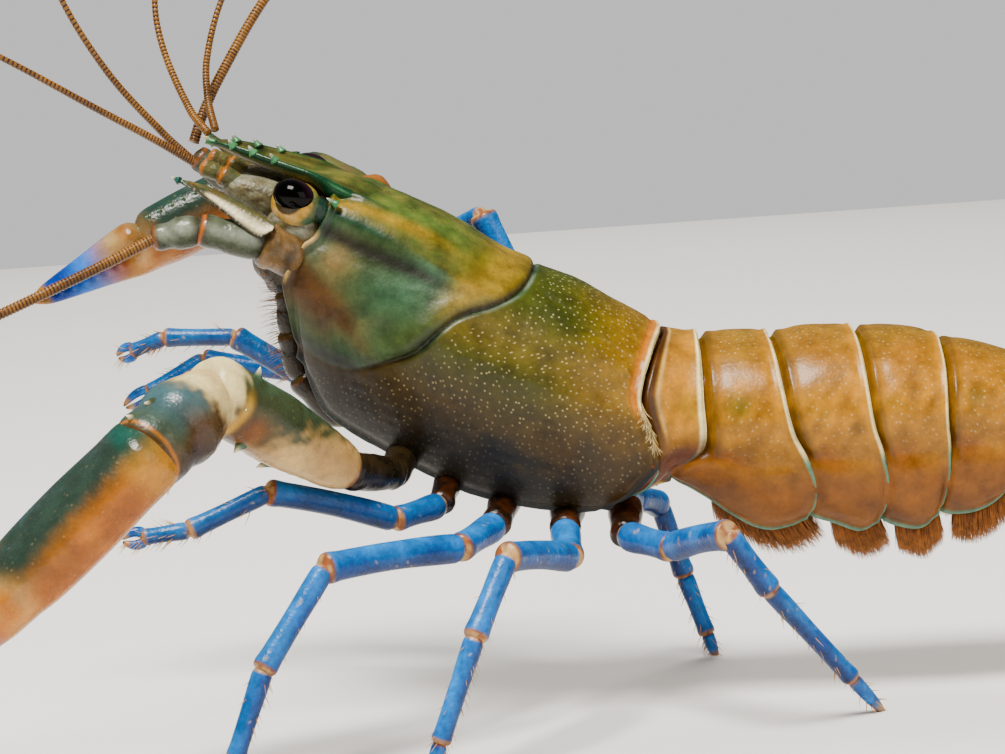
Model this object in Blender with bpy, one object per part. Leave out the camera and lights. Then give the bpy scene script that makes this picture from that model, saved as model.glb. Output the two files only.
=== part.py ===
"""A freshwater crayfish, Cherax boesemani, as a life-size still model in a walking pose.

Drawn in millimetres with the head towards -X, its left side towards -Y and the floor at Z = 0,
then written in metres about the middle of its footprint.
"""

import math
import random

import bmesh
import bpy
from mathutils import Matrix, Vector
from mathutils.bvhtree import BVHTree

# Driving dimensions, in millimetres and degrees
MM = 0.001
GAP = 0.33
SWELL = 0.24
LOWER_GAP_SHARE = 0.7
FOOTPRINT_CENTRE = Vector((27.63, 0.0, 0.0))

ROSTRUM_TIP = Vector((22.5, 0.0, 59.2))
CARAPACE_PITCH = 26.0
CARAPACE_ROLL = 12.0
SHELL_TURN = 70.0
FLAT_END_SIDES = 12

# Height, half width and lower edge of the carapace at a distance behind the rostrum's tip
SHELL_TOP = [(10, 2.0), (16.7, 2.4), (24.4, 2.3), (30.5, 1.2), (34.8, 0.7), (39.3, 0.9),
             (44.5, 0.2), (49.1, -0.3), (54, -1.0)]
SHELL_WIDTH = [(10, 7.6), (14, 8.2), (20, 9.6), (27, 11.0), (35, 11.5), (43, 11.6), (50, 10.7),
               (54, 10.2)]
SHELL_MID = [(10, -8.0), (20, -8.6), (35, -9.6), (54, -9.8)]
SHELL_LOW = [(14, -12.5), (15.8, -14.0), (18.1, -16.8), (21.2, -19.5), (27.4, -20.6), (36.3, -21.2),
             (40.4, -20.8), (45.6, -19.5), (49.3, -18.0), (51.4, -16.4), (54, -14.0)]
SHELL_EDGE = [(14, 6.2), (20, 6.6), (28, 7.4), (36, 8.2), (50, 8.6)]
SHELL_STEPS, SHELL_FIRST = 14, 11

# Front and rear margins of the carapace, from the mid-line (0) to the lower edge (1)
SHELL_FRONT = [(0, 12.5), (0.2, 13.6), (0.32, 13.6), (0.4, 12.4), (0.5, 12.3), (0.65, 13.2),
               (0.8, 14.3), (1, 16.5)]
SHELL_REAR = [(0, 49.1), (0.16, 48.8), (0.3, 49.0), (0.36, 49.6), (0.42, 51.2), (0.5, 53.0),
              (0.6, 53.5), (0.7, 53.2), (0.85, 52.4), (1, 50.8)]

# Cervical groove seen from the side, as distance behind the tip and height
CERVICAL_GROOVE = [(37.5, 5.0), (34.9, 0.9), (34.3, -0.5), (32.4, -2.2), (29.3, -4.5), (26.9, -8.9),
                   (24.9, -10.9), (22.7, -12.8), (21.2, -13.6), (18.5, -13.9), (8.0, -13.2)]

ROSTRUM_HEIGHT = [(0, 0.1), (2.5, 0.8), (6.8, 1.3), (10.6, 1.7), (16.5, 2.2)]
ROSTRUM_WIDTH = [(0, 0.25), (2.5, 1.2), (6.8, 2.3), (10.6, 3.0), (16.5, 3.8)]
ROSTRAL_SPINES = (2.4, 4.5, 6.8)

# Abdomen: pitch of its back, and its section at a distance behind the carapace
TAIL_START = Vector((66.9, 0.0, 37.2))
TAIL_LENGTH = 60.0
TAIL_PITCH = [(0, 12), (5, 4), (13, -1), (19, 3), (26, 8), (32, 15), (38, 21), (45, 32), (52, 42),
              (60, 48)]
TAIL_BACK = [(20, 0), (24, -0.2), (28, -0.6), (32, -1.0), (36, -1.1), (45, -1.1)]
FAR_LAG, LAG_END = 0.0088, 26.0
TAIL_ROLL = [(0, 12), (20, 8), (36, 3), (45, 0), (60, 0)]
TAIL_WIDTH = [(0, 8.6), (3, 9.0), (8, 9.6), (20, 9.7), (30, 9.2), (38, 8.2), (45, 7.0)]
TAIL_MID = [(0, -8.0), (20, -8.0), (38, -6.5), (45, -5.0)]
TAIL_LOW = [(0, -14.0), (3, -14.5), (8, -17.8), (14, -18.2), (20, -19.0), (28, -18.3), (36, -15.5),
            (41, -10.8), (46, -9.0)]
TAIL_EDGE = [(0, 7.0), (10, 8.4), (28, 8.4), (38, 7.0), (45, 5.6)]
SEGMENT_ENDS = (3.2, 10.2, 18.7, 27.2, 36.5, 45.0)
SIDE_PLATE = [(0, 0), (0.35, 0.9), (0.5, 1.8), (0.61, 3.3), (0.75, 4.7), (0.88, 4.3), (1, 3.0)]
FIRST_PLATE = [(0, 0), (0.35, 0.3), (0.5, 0.6), (0.62, 0.3), (0.75, -0.9), (0.88, -1.6), (1, -1.5)]
PLATE_SHARES = (0.0, 0.68, 0.7, 0.5, 0.5, 0.0)
PLATE_DEPTH = [(0, 0.93), (0.2, 0.965), (0.65, 1.0), (0.9, 0.965), (1, 0.93)]
TAIL_TOP = [(0, -0.2), (0.45, 0.15), (1, 0.05)]
WALL = 1.3
DISH = 0.6
TUFT_SPACING = 1.8
TUFT_WIDTH = 0.58

# Joints of the head's limbs, as distance behind the tip, outwards and upwards
ANTENNULE_JOINTS = ((8.2, 1.8, -3.4), (5.2, 2.3, -2.3), (2.8, 2.5, -1.9), (0.8, 2.4, -1.9))
# The right antenna is raised, with the edge of the blade over it
ANTENNA_JOINTS = {
    "left": ((13.0, 5.6, -5.8), (9.4, 7.2, -5.6), (3.2, 8.2, -6.3), (-0.6, 8.4, -8.8)),
    "right": ((13.0, 5.6, -5.8), (9.4, 7.2, -5.6), (3.4, 7.7, -5.0), (-0.9, 7.3, -3.7)),
}
SCALE_EDGE = {
    "left": ((9.8, 8.4, -3.2), (6.5, 8.3, -2.9), (3.0, 7.8, -2.8), (0.5, 7.1, -2.9), (-0.8, 6.5, -3.0)),
    "right": ((9.8, 8.6, -3.2), (6.5, 8.9, -2.5), (3.0, 8.6, -1.7), (0.3, 8.1, -1.2), (-1.1, 7.5, -0.9)),
}
SCALE_WIDTHS = (1.2, 3.1, 3.9, 2.6, 0.3)
MAXILLIPED_JOINTS = ((22.8, 3.0, -20.6), (17.4, 3.1, -18.0), (14.9, 3.1, -14.2), (13.0, 3.0, -10.6),
                     (10.9, 2.8, -8.2))

# Joints of the limbs, from the root outwards
LEFT_LEGS = {
    2: [(43.3, -7, 22.2), (38.9, -11, 21.6), (27.4, -17, 25.8), (19.9, -19, 23.0), (13.6, -20, 22.6)],
    3: [(48.5, -7, 19.8), (45, -14, 18.8), (32.6, -24, 19.2), (26.6, -28, 10.9), (22.1, -29, -0.4)],
    4: [(55.3, -7, 18.9), (55.5, -13, 17.0), (49.5, -25, 19.2), (46.1, -29, 12.7), (40.7, -31, -0.4)],
    5: [(61.2, -7, 17.9), (65.4, -12, 17.1), (70.2, -22, 19.4), (73.9, -20, 13.7), (84.9, -13, -0.4)],
}
RIGHT_LEGS = {
    2: [(43.0, 13, 26.0), (37.0, 17, 27.5), (22.2, 20, 38.2), (14.6, 21, 38.6), (9.2, 22, 36.8)],
    3: [(49.5, 14, 24.0), (44.5, 20, 25.5), (28.0, 26, 33.5), (18.0, 27, 35.5), (9.0, 26, 31.0)],
    4: [(57.8, 13, 23.0), (56.6, 16.4, 30.4), (49.3, 18, 49.4), (44.6, 24.5, 47.2), (38.0, 32, 38.6)],
    5: [(61.8, 13, 19.0), (63.0, 17, 18.2), (66.2, 22, 16.8), (68.4, 23, 8.9), (71.3, 22, -0.4)],
}
LEG_ROOTS = {2: (35.0, -20.4), 3: (41.0, -20.2), 4: (47.0, -19.6), 5: (52.3, -17.4)}
LEG_RADII = (1.9, 1.5, 1.3, 1.05, 0.9, 0.45)
LEG_SIZES = {2: 0.87, 3: 1.0, 4: 1.0, 5: 1.0}

LEFT_CLAW = [(34.8, -14, 27.0), (23.9, -26, 36.4), (17.9, -34, 31.8), (-7.5, -36, 9.9)]
RIGHT_CLAW = [(40.0, 17.5, 37.0), (36.6, 18.5, 52.2), (26.0, 23, 54.2), (0.7, 20, 43.4)]
CLAW_ROOT = (29.8, -20.2)
CLAW_BEND = (1.8, 0.0, -1.6)
CLAW_RADII = (1.9, 2.6, 3.4, 3.7)
# Spines of the merus: share of its length, and turn about it from the front
MERUS_SPINES = ((0.76, 1.3), (0.42, 0.4), (0.85, 3.7), (0.92, 2.4))
HAND_LENGTH = 34.2
PALM = [(0, 0, 3.3, 2.6), (2.5, 0, 4.5, 3.2), (8, 0, 4.9, 3.5), (14, 0, 4.9, 3.3), (17.0, 0, 4.7, 2.9)]
FIXED_FINGER = [(15, -2.3, 2.3, 2.6), (18.5, -2.2, 2.1, 2.4), (23.4, -1.75, 1.45, 1.9),
                (28, -1.25, 1.0, 1.4), (32, -0.85, 0.6, 0.9), (34.2, -0.5, 0.3, 0.35)]
MOVING_FINGER = [(17.4, 2.4, 2.0, 2.1), (20, 2.35, 1.9, 2.1), (24, 1.85, 1.4, 1.7), (28, 1.35, 1.0, 1.3),
                 (32, 0.95, 0.6, 0.8), (34.0, 0.5, 0.3, 0.35)]

# Feelers as points from the root outwards, with the radius at root and tip
LEFT_WHIP = [(17.4, -8.5, 50.1), (12.3, -10, 47.9), (3, -14, 44.2), (-12, -21, 38.5), (-30, -31, 31.5),
             (-48, -42, 25.0), (-64, -54, 20.5)]
RIGHT_WHIP = [(20.6, 7.4, 59.2), (21.5, 8.2, 61.6), (23.5, 9.5, 65.5), (28.8, 14, 73.8), (38.2, 22, 84.5),
              (51, 32, 94), (66, 43, 100.5), (80, 54, 103)]
LEFT_FEELERS = {
    "outer": [(21.4, -2.6, 57.2), (17.9, -4, 59.7), (13, -6, 62.9), (4.4, -10, 68.6), (-2.5, -14, 72.5)],
    "inner": [(21.1, -1.4, 57.5), (18.7, -2, 60.1), (14, -4, 66.3), (10.2, -6, 73.8), (8.4, -8, 81)],
}
RIGHT_FEELERS = {
    "outer": [(23.2, 3.4, 60.3), (22.5, 6, 63.3), (22.5, 8, 67.4), (24.3, 10, 73.4), (28, 13, 80)],
    "inner": [(22.6, 2.0, 60.0), (20.8, 4, 62.4), (18.3, 7, 68.7), (17.6, 9, 73.8), (18.6, 12, 81)],
}
WHIP_RADII = (0.55, 0.27)
FEELER_RADII = (0.42, 0.25)

# Plates of the tail fan: root, outward angle, length and greatest half width
TAIL_FAN = {
    "telson": ((45.4, 0.0, -2.6), 0.0, 13.2, 4.9),
    "uropod_inner": ((45.6, 4.9, -4.7), 20.0, 12.8, 3.1),
    "uropod_outer": ((45.2, 6.6, -5.9), 42.0, 13.8, 3.9),
}

OLIVE = (0.13, 0.14, 0.035)
OCHRE = (0.42, 0.20, 0.05)
BLUE = (0.02, 0.14, 0.55)
GREY_GREEN = (0.22, 0.26, 0.20)
ORANGE = (0.72, 0.30, 0.06)
CREAM = (0.62, 0.50, 0.30)
BROWN = (0.25, 0.13, 0.05)
BLACK = (0.012, 0.008, 0.012)

random.seed(7)
for leftover in list(bpy.data.objects):
    bpy.data.objects.remove(leftover)
model = bpy.data.collections.new("crayfish")
cutters = bpy.data.collections.new("cutters")
bpy.context.scene.collection.children.link(model)
bpy.context.scene.collection.children.link(cutters)


def along(table, x):
    """Smooth value at x through the (x, value) pairs of a table."""
    x = min(max(x, table[0][0]), table[-1][0])
    i = max(k for k in range(len(table) - 1) if table[k][0] <= x)

    def slope(k):
        a, b = table[max(k - 1, 0)], table[min(k + 1, len(table) - 1)]
        return (b[1] - a[1]) / (b[0] - a[0])

    (x0, y0), (x1, y1) = table[i], table[i + 1]
    span = x1 - x0
    t = (x - x0) / span
    return (y0 * (1 + 2 * t) * (1 - t) ** 2 + y1 * t * t * (3 - 2 * t)
            + slope(i) * span * t * (1 - t) ** 2 - slope(i + 1) * span * t * t * (1 - t))


def axes(pitch, roll):
    """Backward, leftward and upward directions of a body pitched head up and rolled to the left."""
    p, r = math.radians(pitch), math.radians(roll)
    back = Vector((math.cos(p), 0, -math.sin(p)))
    up = Vector((math.sin(p), 0, math.cos(p)))
    left = Vector((0, -1, 0))
    return back, left * math.cos(r) - up * math.sin(r), up * math.cos(r) + left * math.sin(r)


SHELL_AXES = axes(CARAPACE_PITCH, CARAPACE_ROLL)


def on_body(s, side, h):
    """A point of the front body: s behind the rostrum's tip, side to the left and h upwards."""
    return ROSTRUM_TIP + SHELL_AXES[0] * s + SHELL_AXES[1] * side + SHELL_AXES[2] * h


def arch(theta, width, top, mid, low, edge):
    """Half section of a shell: mid-line at 0, widest point at 0.5, lower edge at 1."""
    if theta <= 0.5:
        a = theta * math.pi
        return width * math.sin(a), mid + (top - mid) * math.cos(a)
    turn = math.radians(SHELL_TURN)
    a = (2 * theta - 1) * turn
    return (width - (width - edge) * (1 - math.cos(a)) / (1 - math.cos(turn)),
            mid + (low - mid) * math.sin(a) / math.sin(turn))


def shell_section(s, theta, scale=1.0):
    """Sideways and upward place on the carapace."""
    mid = along(SHELL_MID, s)
    side, h = arch(theta, along(SHELL_WIDTH, s), along(SHELL_TOP, s), mid, along(SHELL_LOW, s),
                   along(SHELL_EDGE, s))
    return side * scale, mid + (h - mid) * scale


def tail_path():
    """Points along the back of the abdomen, half a millimetre apart."""
    point, points = TAIL_START.copy(), []
    for k in range(int(TAIL_LENGTH * 2) + 1):
        points.append(point.copy())
        point = point + axes(along(TAIL_PITCH, k / 2), 0)[0] * 0.5
    return points


TAIL_POINTS = tail_path()


def on_tail(s, side, h):
    """A point of the abdomen: s behind the carapace, side to the left and h upwards.

    The right side lags a little at the front, where the rolled body bends into the level tail.
    """
    k = min(max(int(s * 2), 0), len(TAIL_POINTS) - 2)
    start = TAIL_POINTS[k].lerp(TAIL_POINTS[k + 1], s * 2 - k)
    back, left, up = axes(along(TAIL_PITCH, s), along(TAIL_ROLL, s))
    lag = FAR_LAG * max(0, 1 - s / LAG_END) * min(side, 0) ** 2
    return start + left * side + up * h + back * lag


def loft(rings):
    """Closed mesh through rings of equally many points, its ends flat or closed by a fan."""
    mesh = bmesh.new()
    rows = [[mesh.verts.new(p * MM) for p in ring] for ring in rings]
    count = len(rows[0])
    for a, b in zip(rows, rows[1:]):
        for i in range(count):
            j = (i + 1) % count
            mesh.faces.new((a[i], a[j], b[j], b[i]))
    for row in (rows[0], rows[-1]):
        if count <= FLAT_END_SIDES:
            mesh.faces.new(row)
            continue
        hub = mesh.verts.new(sum((v.co for v in row), Vector()) / count)
        for i in range(count):
            mesh.faces.new((row[i], row[(i + 1) % count], hub))
    bmesh.ops.recalc_face_normals(mesh, faces=mesh.faces)
    return mesh


def arch_loft(rings, steps, first):
    """Closed mesh through arched rings whose side walls are parted from the roof at point number first.

    A ring runs from the mid-line down the left, up inside its wall, over the roof and round the right.
    """
    mesh = bmesh.new()
    rows = [[mesh.verts.new(p * MM) for p in ring] for ring in rings]
    count = len(rows[0])
    for a, b in zip(rows, rows[1:]):
        for i in range(count):
            j = (i + 1) % count
            mesh.faces.new((a[i], a[j], b[j], b[i]))
    wall = steps - first
    inward = (rows[-1][0].co - rows[0][0].co).normalized() * DISH * MM
    for row, dish in ((rows[0], inward), (rows[-1], -inward)):
        for side in (row, [row[0]] + row[:0:-1]):
            for k in range(wall):
                outer, inner = steps - k, steps + k
                corners = [side[outer], side[outer - 1], side[inner + 1], side[inner]]
                mesh.faces.new(corners if k else corners[:3])
        middle = row[:first + 1] + row[steps + wall:count - steps - wall + 1] + row[count - first:]
        hub = mesh.verts.new(sum((v.co for v in middle), Vector()) / len(middle) + dish)
        for i, vertex in enumerate(middle):
            mesh.faces.new((vertex, middle[(i + 1) % len(middle)], hub))
    bmesh.ops.recalc_face_normals(mesh, faces=mesh.faces)
    return mesh


def add(name, mesh, colour, roughness=0.4, collection=model):
    """Make a smooth object of a bmesh, with a material of its own."""
    data = bpy.data.meshes.new(name)
    mesh.to_mesh(data)
    mesh.free()
    data.shade_smooth()
    piece = bpy.data.objects.new(name, data)
    collection.objects.link(piece)
    material = bpy.data.materials.new(name)
    material.use_nodes = True
    shader = material.node_tree.nodes["Principled BSDF"]
    shader.inputs["Base Color"].default_value = (*colour, 1)
    shader.inputs["Roughness"].default_value = roughness
    shader.inputs["Metallic"].default_value = 0.0
    data.materials.append(material)
    return piece


def apply_modifiers(piece):
    """Replace a piece's mesh by its evaluated one."""
    evaluated = piece.evaluated_get(bpy.context.evaluated_depsgraph_get())
    data = bpy.data.meshes.new_from_object(evaluated)
    piece.modifiers.clear()
    piece.data = data


def islands(mesh):
    """Vertex sets of the closed surfaces of a bmesh."""
    left, found = set(mesh.verts), []
    while left:
        stack, island = [left.pop()], set()
        while stack:
            vertex = stack.pop()
            island.add(vertex)
            for edge in vertex.link_edges:
                other = edge.other_vert(vertex)
                if other in left:
                    left.remove(other)
                    stack.append(other)
        found.append(island)
    return found


def keep_largest(piece):
    """Keep only the largest closed surface of a piece, by the size of its box."""
    mesh = bmesh.new()
    mesh.from_mesh(piece.data)

    def size(island):
        low = [min(v.co[i] for v in island) for i in range(3)]
        high = [max(v.co[i] for v in island) for i in range(3)]
        return (Vector(high) - Vector(low)).length

    parts = sorted(islands(mesh), key=size)
    for scrap in parts[:-1]:
        bmesh.ops.delete(mesh, geom=list(scrap), context="VERTS")
    mesh.to_mesh(piece.data)
    mesh.free()


def fuse(piece, meshes):
    """Join closed meshes to a piece by one union."""
    group = bpy.data.collections.new("extras")
    bpy.context.scene.collection.children.link(group)
    extras = [add("extra", mesh, CREAM, collection=group) for mesh in meshes]
    union = piece.modifiers.new("join", "BOOLEAN")
    union.operation = "UNION"
    union.operand_type = "COLLECTION"
    union.collection = group
    apply_modifiers(piece)
    for extra in extras:
        bpy.data.objects.remove(extra)
    bpy.data.collections.remove(group)
    keep_largest(piece)
    return piece


def cut(piece, cutter_mesh, keep=True):
    """Cut a closed mesh out of a piece."""
    cutter = add("cutter", cutter_mesh, CREAM, collection=cutters)
    cutter.hide_render = True
    cutter.display_type = "WIRE"
    difference = piece.modifiers.new("cut", "BOOLEAN")
    difference.operation = "DIFFERENCE"
    difference.object = cutter
    difference.use_self = True
    whole = piece.data
    apply_modifiers(piece)
    if not piece.data.polygons:
        piece.data = whole
        again = piece.modifiers.new("cut", "BOOLEAN")
        again.operation = "DIFFERENCE"
        again.object = cutter
        again.solver = "MANIFOLD"
        apply_modifiers(piece)
    bpy.data.objects.remove(cutter)
    if keep:
        keep_largest(piece)


def swollen(piece):
    """A copy of a piece's mesh, grown by nearly the gap that neighbours keep."""
    mesh = bmesh.new()
    mesh.from_mesh(piece.data)
    bmesh.ops.triangulate(mesh, faces=mesh.faces)
    mesh.normal_update()
    for vertex, normal in [(v, v.normal.copy()) for v in mesh.verts]:
        vertex.co += normal * SWELL * MM
    return mesh


def tree_of(piece):
    """Search tree over a piece's faces."""
    mesh = bmesh.new()
    mesh.from_mesh(piece.data)
    tree = BVHTree.FromBMesh(mesh)
    mesh.free()
    return tree


def clear_of(piece, neighbour):
    """Trim a piece where it comes nearer to a neighbour than the gap."""
    mesh = swollen(neighbour)
    if BVHTree.FromBMesh(mesh).overlap(tree_of(piece)):
        cut(piece, mesh)
    else:
        mesh.free()


def frame_along(a, b, flat):
    """Axis from a to b, with the width and thickness directions across it."""
    axis = (b - a).normalized()
    across = (flat - axis * flat.dot(axis)).normalized()
    return axis, across, axis.cross(across)


def ellipse(centre, across, thick, half_width, half_thickness, sides):
    """Ring of points round a centre."""
    turns = [2 * math.pi * (k + 0.5) / sides for k in range(sides)]
    return [centre + across * half_width * math.cos(t) + thick * half_thickness * math.sin(t)
            for t in turns]


def article(a, b, start, end, sides=7, flat=Vector((0, 0, 1)), ratio=1.0):
    """One limb article from joint a to joint b, waisted at its root and flared at its end."""
    a, b = Vector(a), Vector(b)
    axis, across, thick = frame_along(a, b, flat)
    length = (b - a).length
    stations = [(-0.35 * start, 0.55 * start), (0.4 * start, 0.88 * start), (0.45 * length, start),
                (length - 0.35 * end, end), (length + 0.3 * end, 0.62 * end)]
    return loft([ellipse(a + axis * x, across, thick, r * ratio, r, sides) for x, r in stations])


def spine(base, tip, radius, sides=5):
    """A pointed cone from base to tip, with its root sunk by a third of its length."""
    base, tip = Vector(base), Vector(tip)
    direction = tip - base
    length = direction.length * 1.33
    turn = direction.to_track_quat("Z", "Y").to_matrix().to_4x4()
    middle = Matrix.Translation((tip - direction.normalized() * length / 2) * MM)
    mesh = bmesh.new()
    bmesh.ops.create_cone(mesh, cap_ends=True, segments=sides, radius1=radius * MM, radius2=0.04 * MM,
                          depth=length * MM, matrix=middle @ turn)
    return mesh


def lock(root, direction, length, width, bend, sunk=0.8):
    """A tapered, bent tuft of bristles that grows from root along direction."""
    direction = direction.normalized()
    across = direction.cross(Vector((0, 1, 0))).normalized()
    thick = direction.cross(across)
    stations = [(-sunk, 0.75), (0.6 * length, 1.0), (length, 0.2)]
    rings = []
    for x, share in stations:
        centre = root + direction * x + bend * max(x / length, 0) ** 2
        rings.append(ellipse(centre, across, thick, width * share, 0.42 * width * share, 4))
    return loft(rings)


def ball(centre, radii, directions, segments=12, rings=6):
    """An ellipsoid with its radii along three directions."""
    mesh = bmesh.new()
    turn = Matrix([[d[i] for d in directions] for i in range(3)]).to_4x4()
    size = Matrix.Diagonal((*(Vector(radii) * MM), 1))
    bmesh.ops.create_uvsphere(mesh, u_segments=segments, v_segments=rings, radius=1,
                              matrix=Matrix.Translation(centre * MM) @ turn @ size)
    bmesh.ops.recalc_face_normals(mesh, faces=mesh.faces)
    return mesh


def walled_ring(at, place, steps, first, roof_step):
    """Ring of an arched shell: at gives the outer places of one side, place turns them into points."""
    left = [at(j / steps) for j in range(steps + 1)]
    wall = []
    for j in range(first, steps):
        s, side, h = left[j]
        wall.append((s, side - WALL * min(1, 0.5 * (steps - j)), h))
    roof = (left[roof_step][0], 0, wall[0][2] + 0.5)

    def mirrored(places):
        return [(s, -side, h) for s, side, h in places]

    return [place(*p) for p in left + wall[::-1] + [roof] + mirrored(wall) + mirrored(left[:0:-1])]


def make_carapace():
    """The carapace in one piece, hollowed below."""
    rows = 14
    rings = []
    for k in range(rows + 1):
        u = k / rows

        def at(theta):
            s = along(SHELL_FRONT, theta) * (1 - u) + along(SHELL_REAR, theta) * u
            return (s, *shell_section(s, theta))

        rings.append(walled_ring(at, on_body, SHELL_STEPS, SHELL_FIRST, 4))
    return arch_loft(rings, SHELL_STEPS, SHELL_FIRST)


def groove_ribbon():
    """A thin strip through the whole body along the cervical groove."""
    rings, reach = [], 18
    for k, (s, h) in enumerate(CERVICAL_GROOVE):
        before = Vector(CERVICAL_GROOVE[max(k - 1, 0)])
        after = Vector(CERVICAL_GROOVE[min(k + 1, len(CERVICAL_GROOVE) - 1)])
        run = (after - before).normalized()
        ds, dh = -run.y * GAP / 2, run.x * GAP / 2
        rings.append([on_body(s + ds, reach, h + dh), on_body(s + ds, -reach, h + dh),
                      on_body(s - ds, -reach, h - dh), on_body(s - ds, reach, h - dh)])
    return loft(rings)


def rostrum():
    """The flat beak between the eyes, with a raised keel along each edge."""
    rings = []
    for k in range(9):
        s = 16.5 * k / 8
        w, h = along(ROSTRUM_WIDTH, s), along(ROSTRUM_HEIGHT, s)
        flank = h - 0.25 - 0.25 * w
        outline = [(1, h), (0.7, h + 0.1), (0.4, h - 0.35), (-0.4, h - 0.35), (-0.7, h + 0.1), (-1, h),
                   (-0.75, flank), (0, h - 0.5 - 0.4 * w), (0.75, flank)]
        rings.append([on_body(s, side * w, height) for side, height in outline])
    return loft(rings)


def face_block():
    """What lies under the rostrum and carries the eyes and feelers."""
    return ball(on_body(13.6, 0, -6.4), (6.2, 5.2, 5.6), SHELL_AXES)


def make_head_and_thorax():
    """Both halves of the carapace, the front one with rostrum, spines and ridges."""
    thorax = add("thorax", make_carapace(), OLIVE)
    cut(thorax, groove_ribbon(), keep=False)
    mesh = bmesh.new()
    mesh.from_mesh(thorax.data)
    parts = sorted(islands(mesh), key=len)[-2:]
    middles = [sum(v.co.x for v in part) / len(part) for part in parts]
    front = parts[middles.index(min(middles))]
    places = {v.index for v in front}
    mesh.free()
    head_mesh, thorax_mesh = bmesh.new(), bmesh.new()
    for target, wanted in ((head_mesh, True), (thorax_mesh, False)):
        target.from_mesh(thorax.data)
        target.verts.ensure_lookup_table()
        unwanted = [v for v in target.verts if (v.index in places) != wanted]
        bmesh.ops.delete(target, geom=unwanted, context="VERTS")
    thorax_mesh.to_mesh(thorax.data)
    thorax_mesh.free()
    keep_largest(thorax)
    head = add("head", head_mesh, OLIVE)
    extras = [rostrum(), face_block()]
    for sign in (1, -1):
        for s in ROSTRAL_SPINES:
            w, h = along(ROSTRUM_WIDTH, s), along(ROSTRUM_HEIGHT, s)
            root, tip = on_body(s + 0.5, sign * (w - 0.1), h), on_body(s - 0.8, sign * (w + 0.3), h + 0.4)
            extras.append(spine(root, tip, 0.32))
        extras.append(spine(on_body(20.0, sign * 6.7, -1.9), on_body(13.6, sign * 6.1, 0.7), 1.15, 6))
    return fuse(head, extras), thorax


def make_sternum():
    """The narrow floor of the body, to which the legs are jointed."""
    rings = []
    for k in range(10):
        s = 19.5 + 30.0 * k / 9
        low = along(SHELL_LOW, s)
        top = shell_section(s, SHELL_FIRST / SHELL_STEPS)[1] - GAP - 0.15
        bottom = low - 0.8
        width = along([(19.5, 3.4), (30, 6.2), (46, 6.4), (49.5, 5.6)], s)
        outline = [(width, top - 0.2), (width, bottom + 1.6), (0.62 * width, bottom), (0, bottom + 0.4)]
        mirrored = [(-side, h) for side, h in outline[2::-1]]
        rings.append([on_body(s, side, h) for side, h in outline + mirrored + [(0, top)]])
    return add("sternum", loft(rings), CREAM)


def margin(index, theta):
    """Rear margin of abdomen segment number index, 1 to 6, along the animal."""
    if index == 1:
        return SEGMENT_ENDS[0] + along(FIRST_PLATE, theta)
    return SEGMENT_ENDS[index - 1] + PLATE_SHARES[index - 1] * along(SIDE_PLATE, theta)


def plate_point(index, u, theta, sign):
    """A point on the outside of an abdomen segment, u from its front to its rear margin."""
    rear = margin(index, theta)
    front = margin(index - 1, theta) + GAP * (1 + LOWER_GAP_SHARE * theta) if index > 1 else GAP
    s = front * (1 - u) + rear * u
    depth = along(PLATE_DEPTH, u) if index > 1 else 1.0 - 0.07 * u
    side, h = arch(theta, along(TAIL_WIDTH, s), along(TAIL_TOP, u) + along(TAIL_BACK, s),
                   along(TAIL_MID, s), along(TAIL_LOW, s) * depth, along(TAIL_EDGE, s))
    return s, sign * side, h


def behind_shell(theta):
    """Place just behind the rear margin of the carapace."""
    s = along(SHELL_REAR, theta)
    return (s + GAP * (1 + 2 * LOWER_GAP_SHARE * theta), *shell_section(s, theta, 0.98))


def make_segment(index):
    """One ring of the abdomen with its side plates, hollowed below."""
    shares = (0, 0.33, 0.7, 1)
    steps, first = (SHELL_STEPS, SHELL_FIRST) if index == 1 else (10, 6)
    roof_step = 4 if index == 1 else 3
    rings = []
    for u in shares:
        rings.append(walled_ring(lambda theta: plate_point(index, u, theta, 1), on_tail, steps, first, roof_step))
    if index == 1:
        front = walled_ring(behind_shell, on_body, steps, first, roof_step)
        rings = [[p.lerp(q, u) for p, q in zip(front, rings[-1])] for u in shares]
    segment = add(f"abdomen_{index}", arch_loft(rings, steps, first), OCHRE)
    if 1 < index < 6:
        fuse(segment, fringe(index) + paddles(index))
    return segment


def fringe(index):
    """Tufts of bristles along the lower edge of both side plates."""
    tufts = []
    for sign in (1, -1):
        edge_length = plate_point(index, 1, 1, sign)[0] - plate_point(index, 0, 1, sign)[0]
        count = round(edge_length / TUFT_SPACING)
        for k in range(count):
            u = 0.1 + 0.8 * k / (count - 1)
            s, side, h = plate_point(index, u, 0.985, sign)
            root = on_tail(s, side * 0.95, h + 0.25)
            down = on_tail(s + 0.6 + 0.7 * random.random(), side * 0.96, h - 3) - on_tail(s, side * 0.95, h)
            back = on_tail(s + 1, side, h) - on_tail(s, side, h)
            length = (2.3 + 0.8 * random.random()) * (1.0 if k else 0.75)
            tufts.append(lock(root, down, length, TUFT_WIDTH * TUFT_SPACING, back * 0.4))
    return tufts


def paddles(index):
    """The pair of small swimming legs under a segment."""
    blades = []
    for sign in (1, -1):
        s, edge, low = plate_point(index, 0.35, 1, 1)
        root = on_tail(s, sign * 4.4, low * 0.6)
        tip = on_tail(s + 2.6, sign * 4.0, low * 0.6 - 6.6)
        blades.append(article(root, tip, 0.9, 1.1, 5, Vector((0, 1, 0)), 1.6))
    return blades


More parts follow.
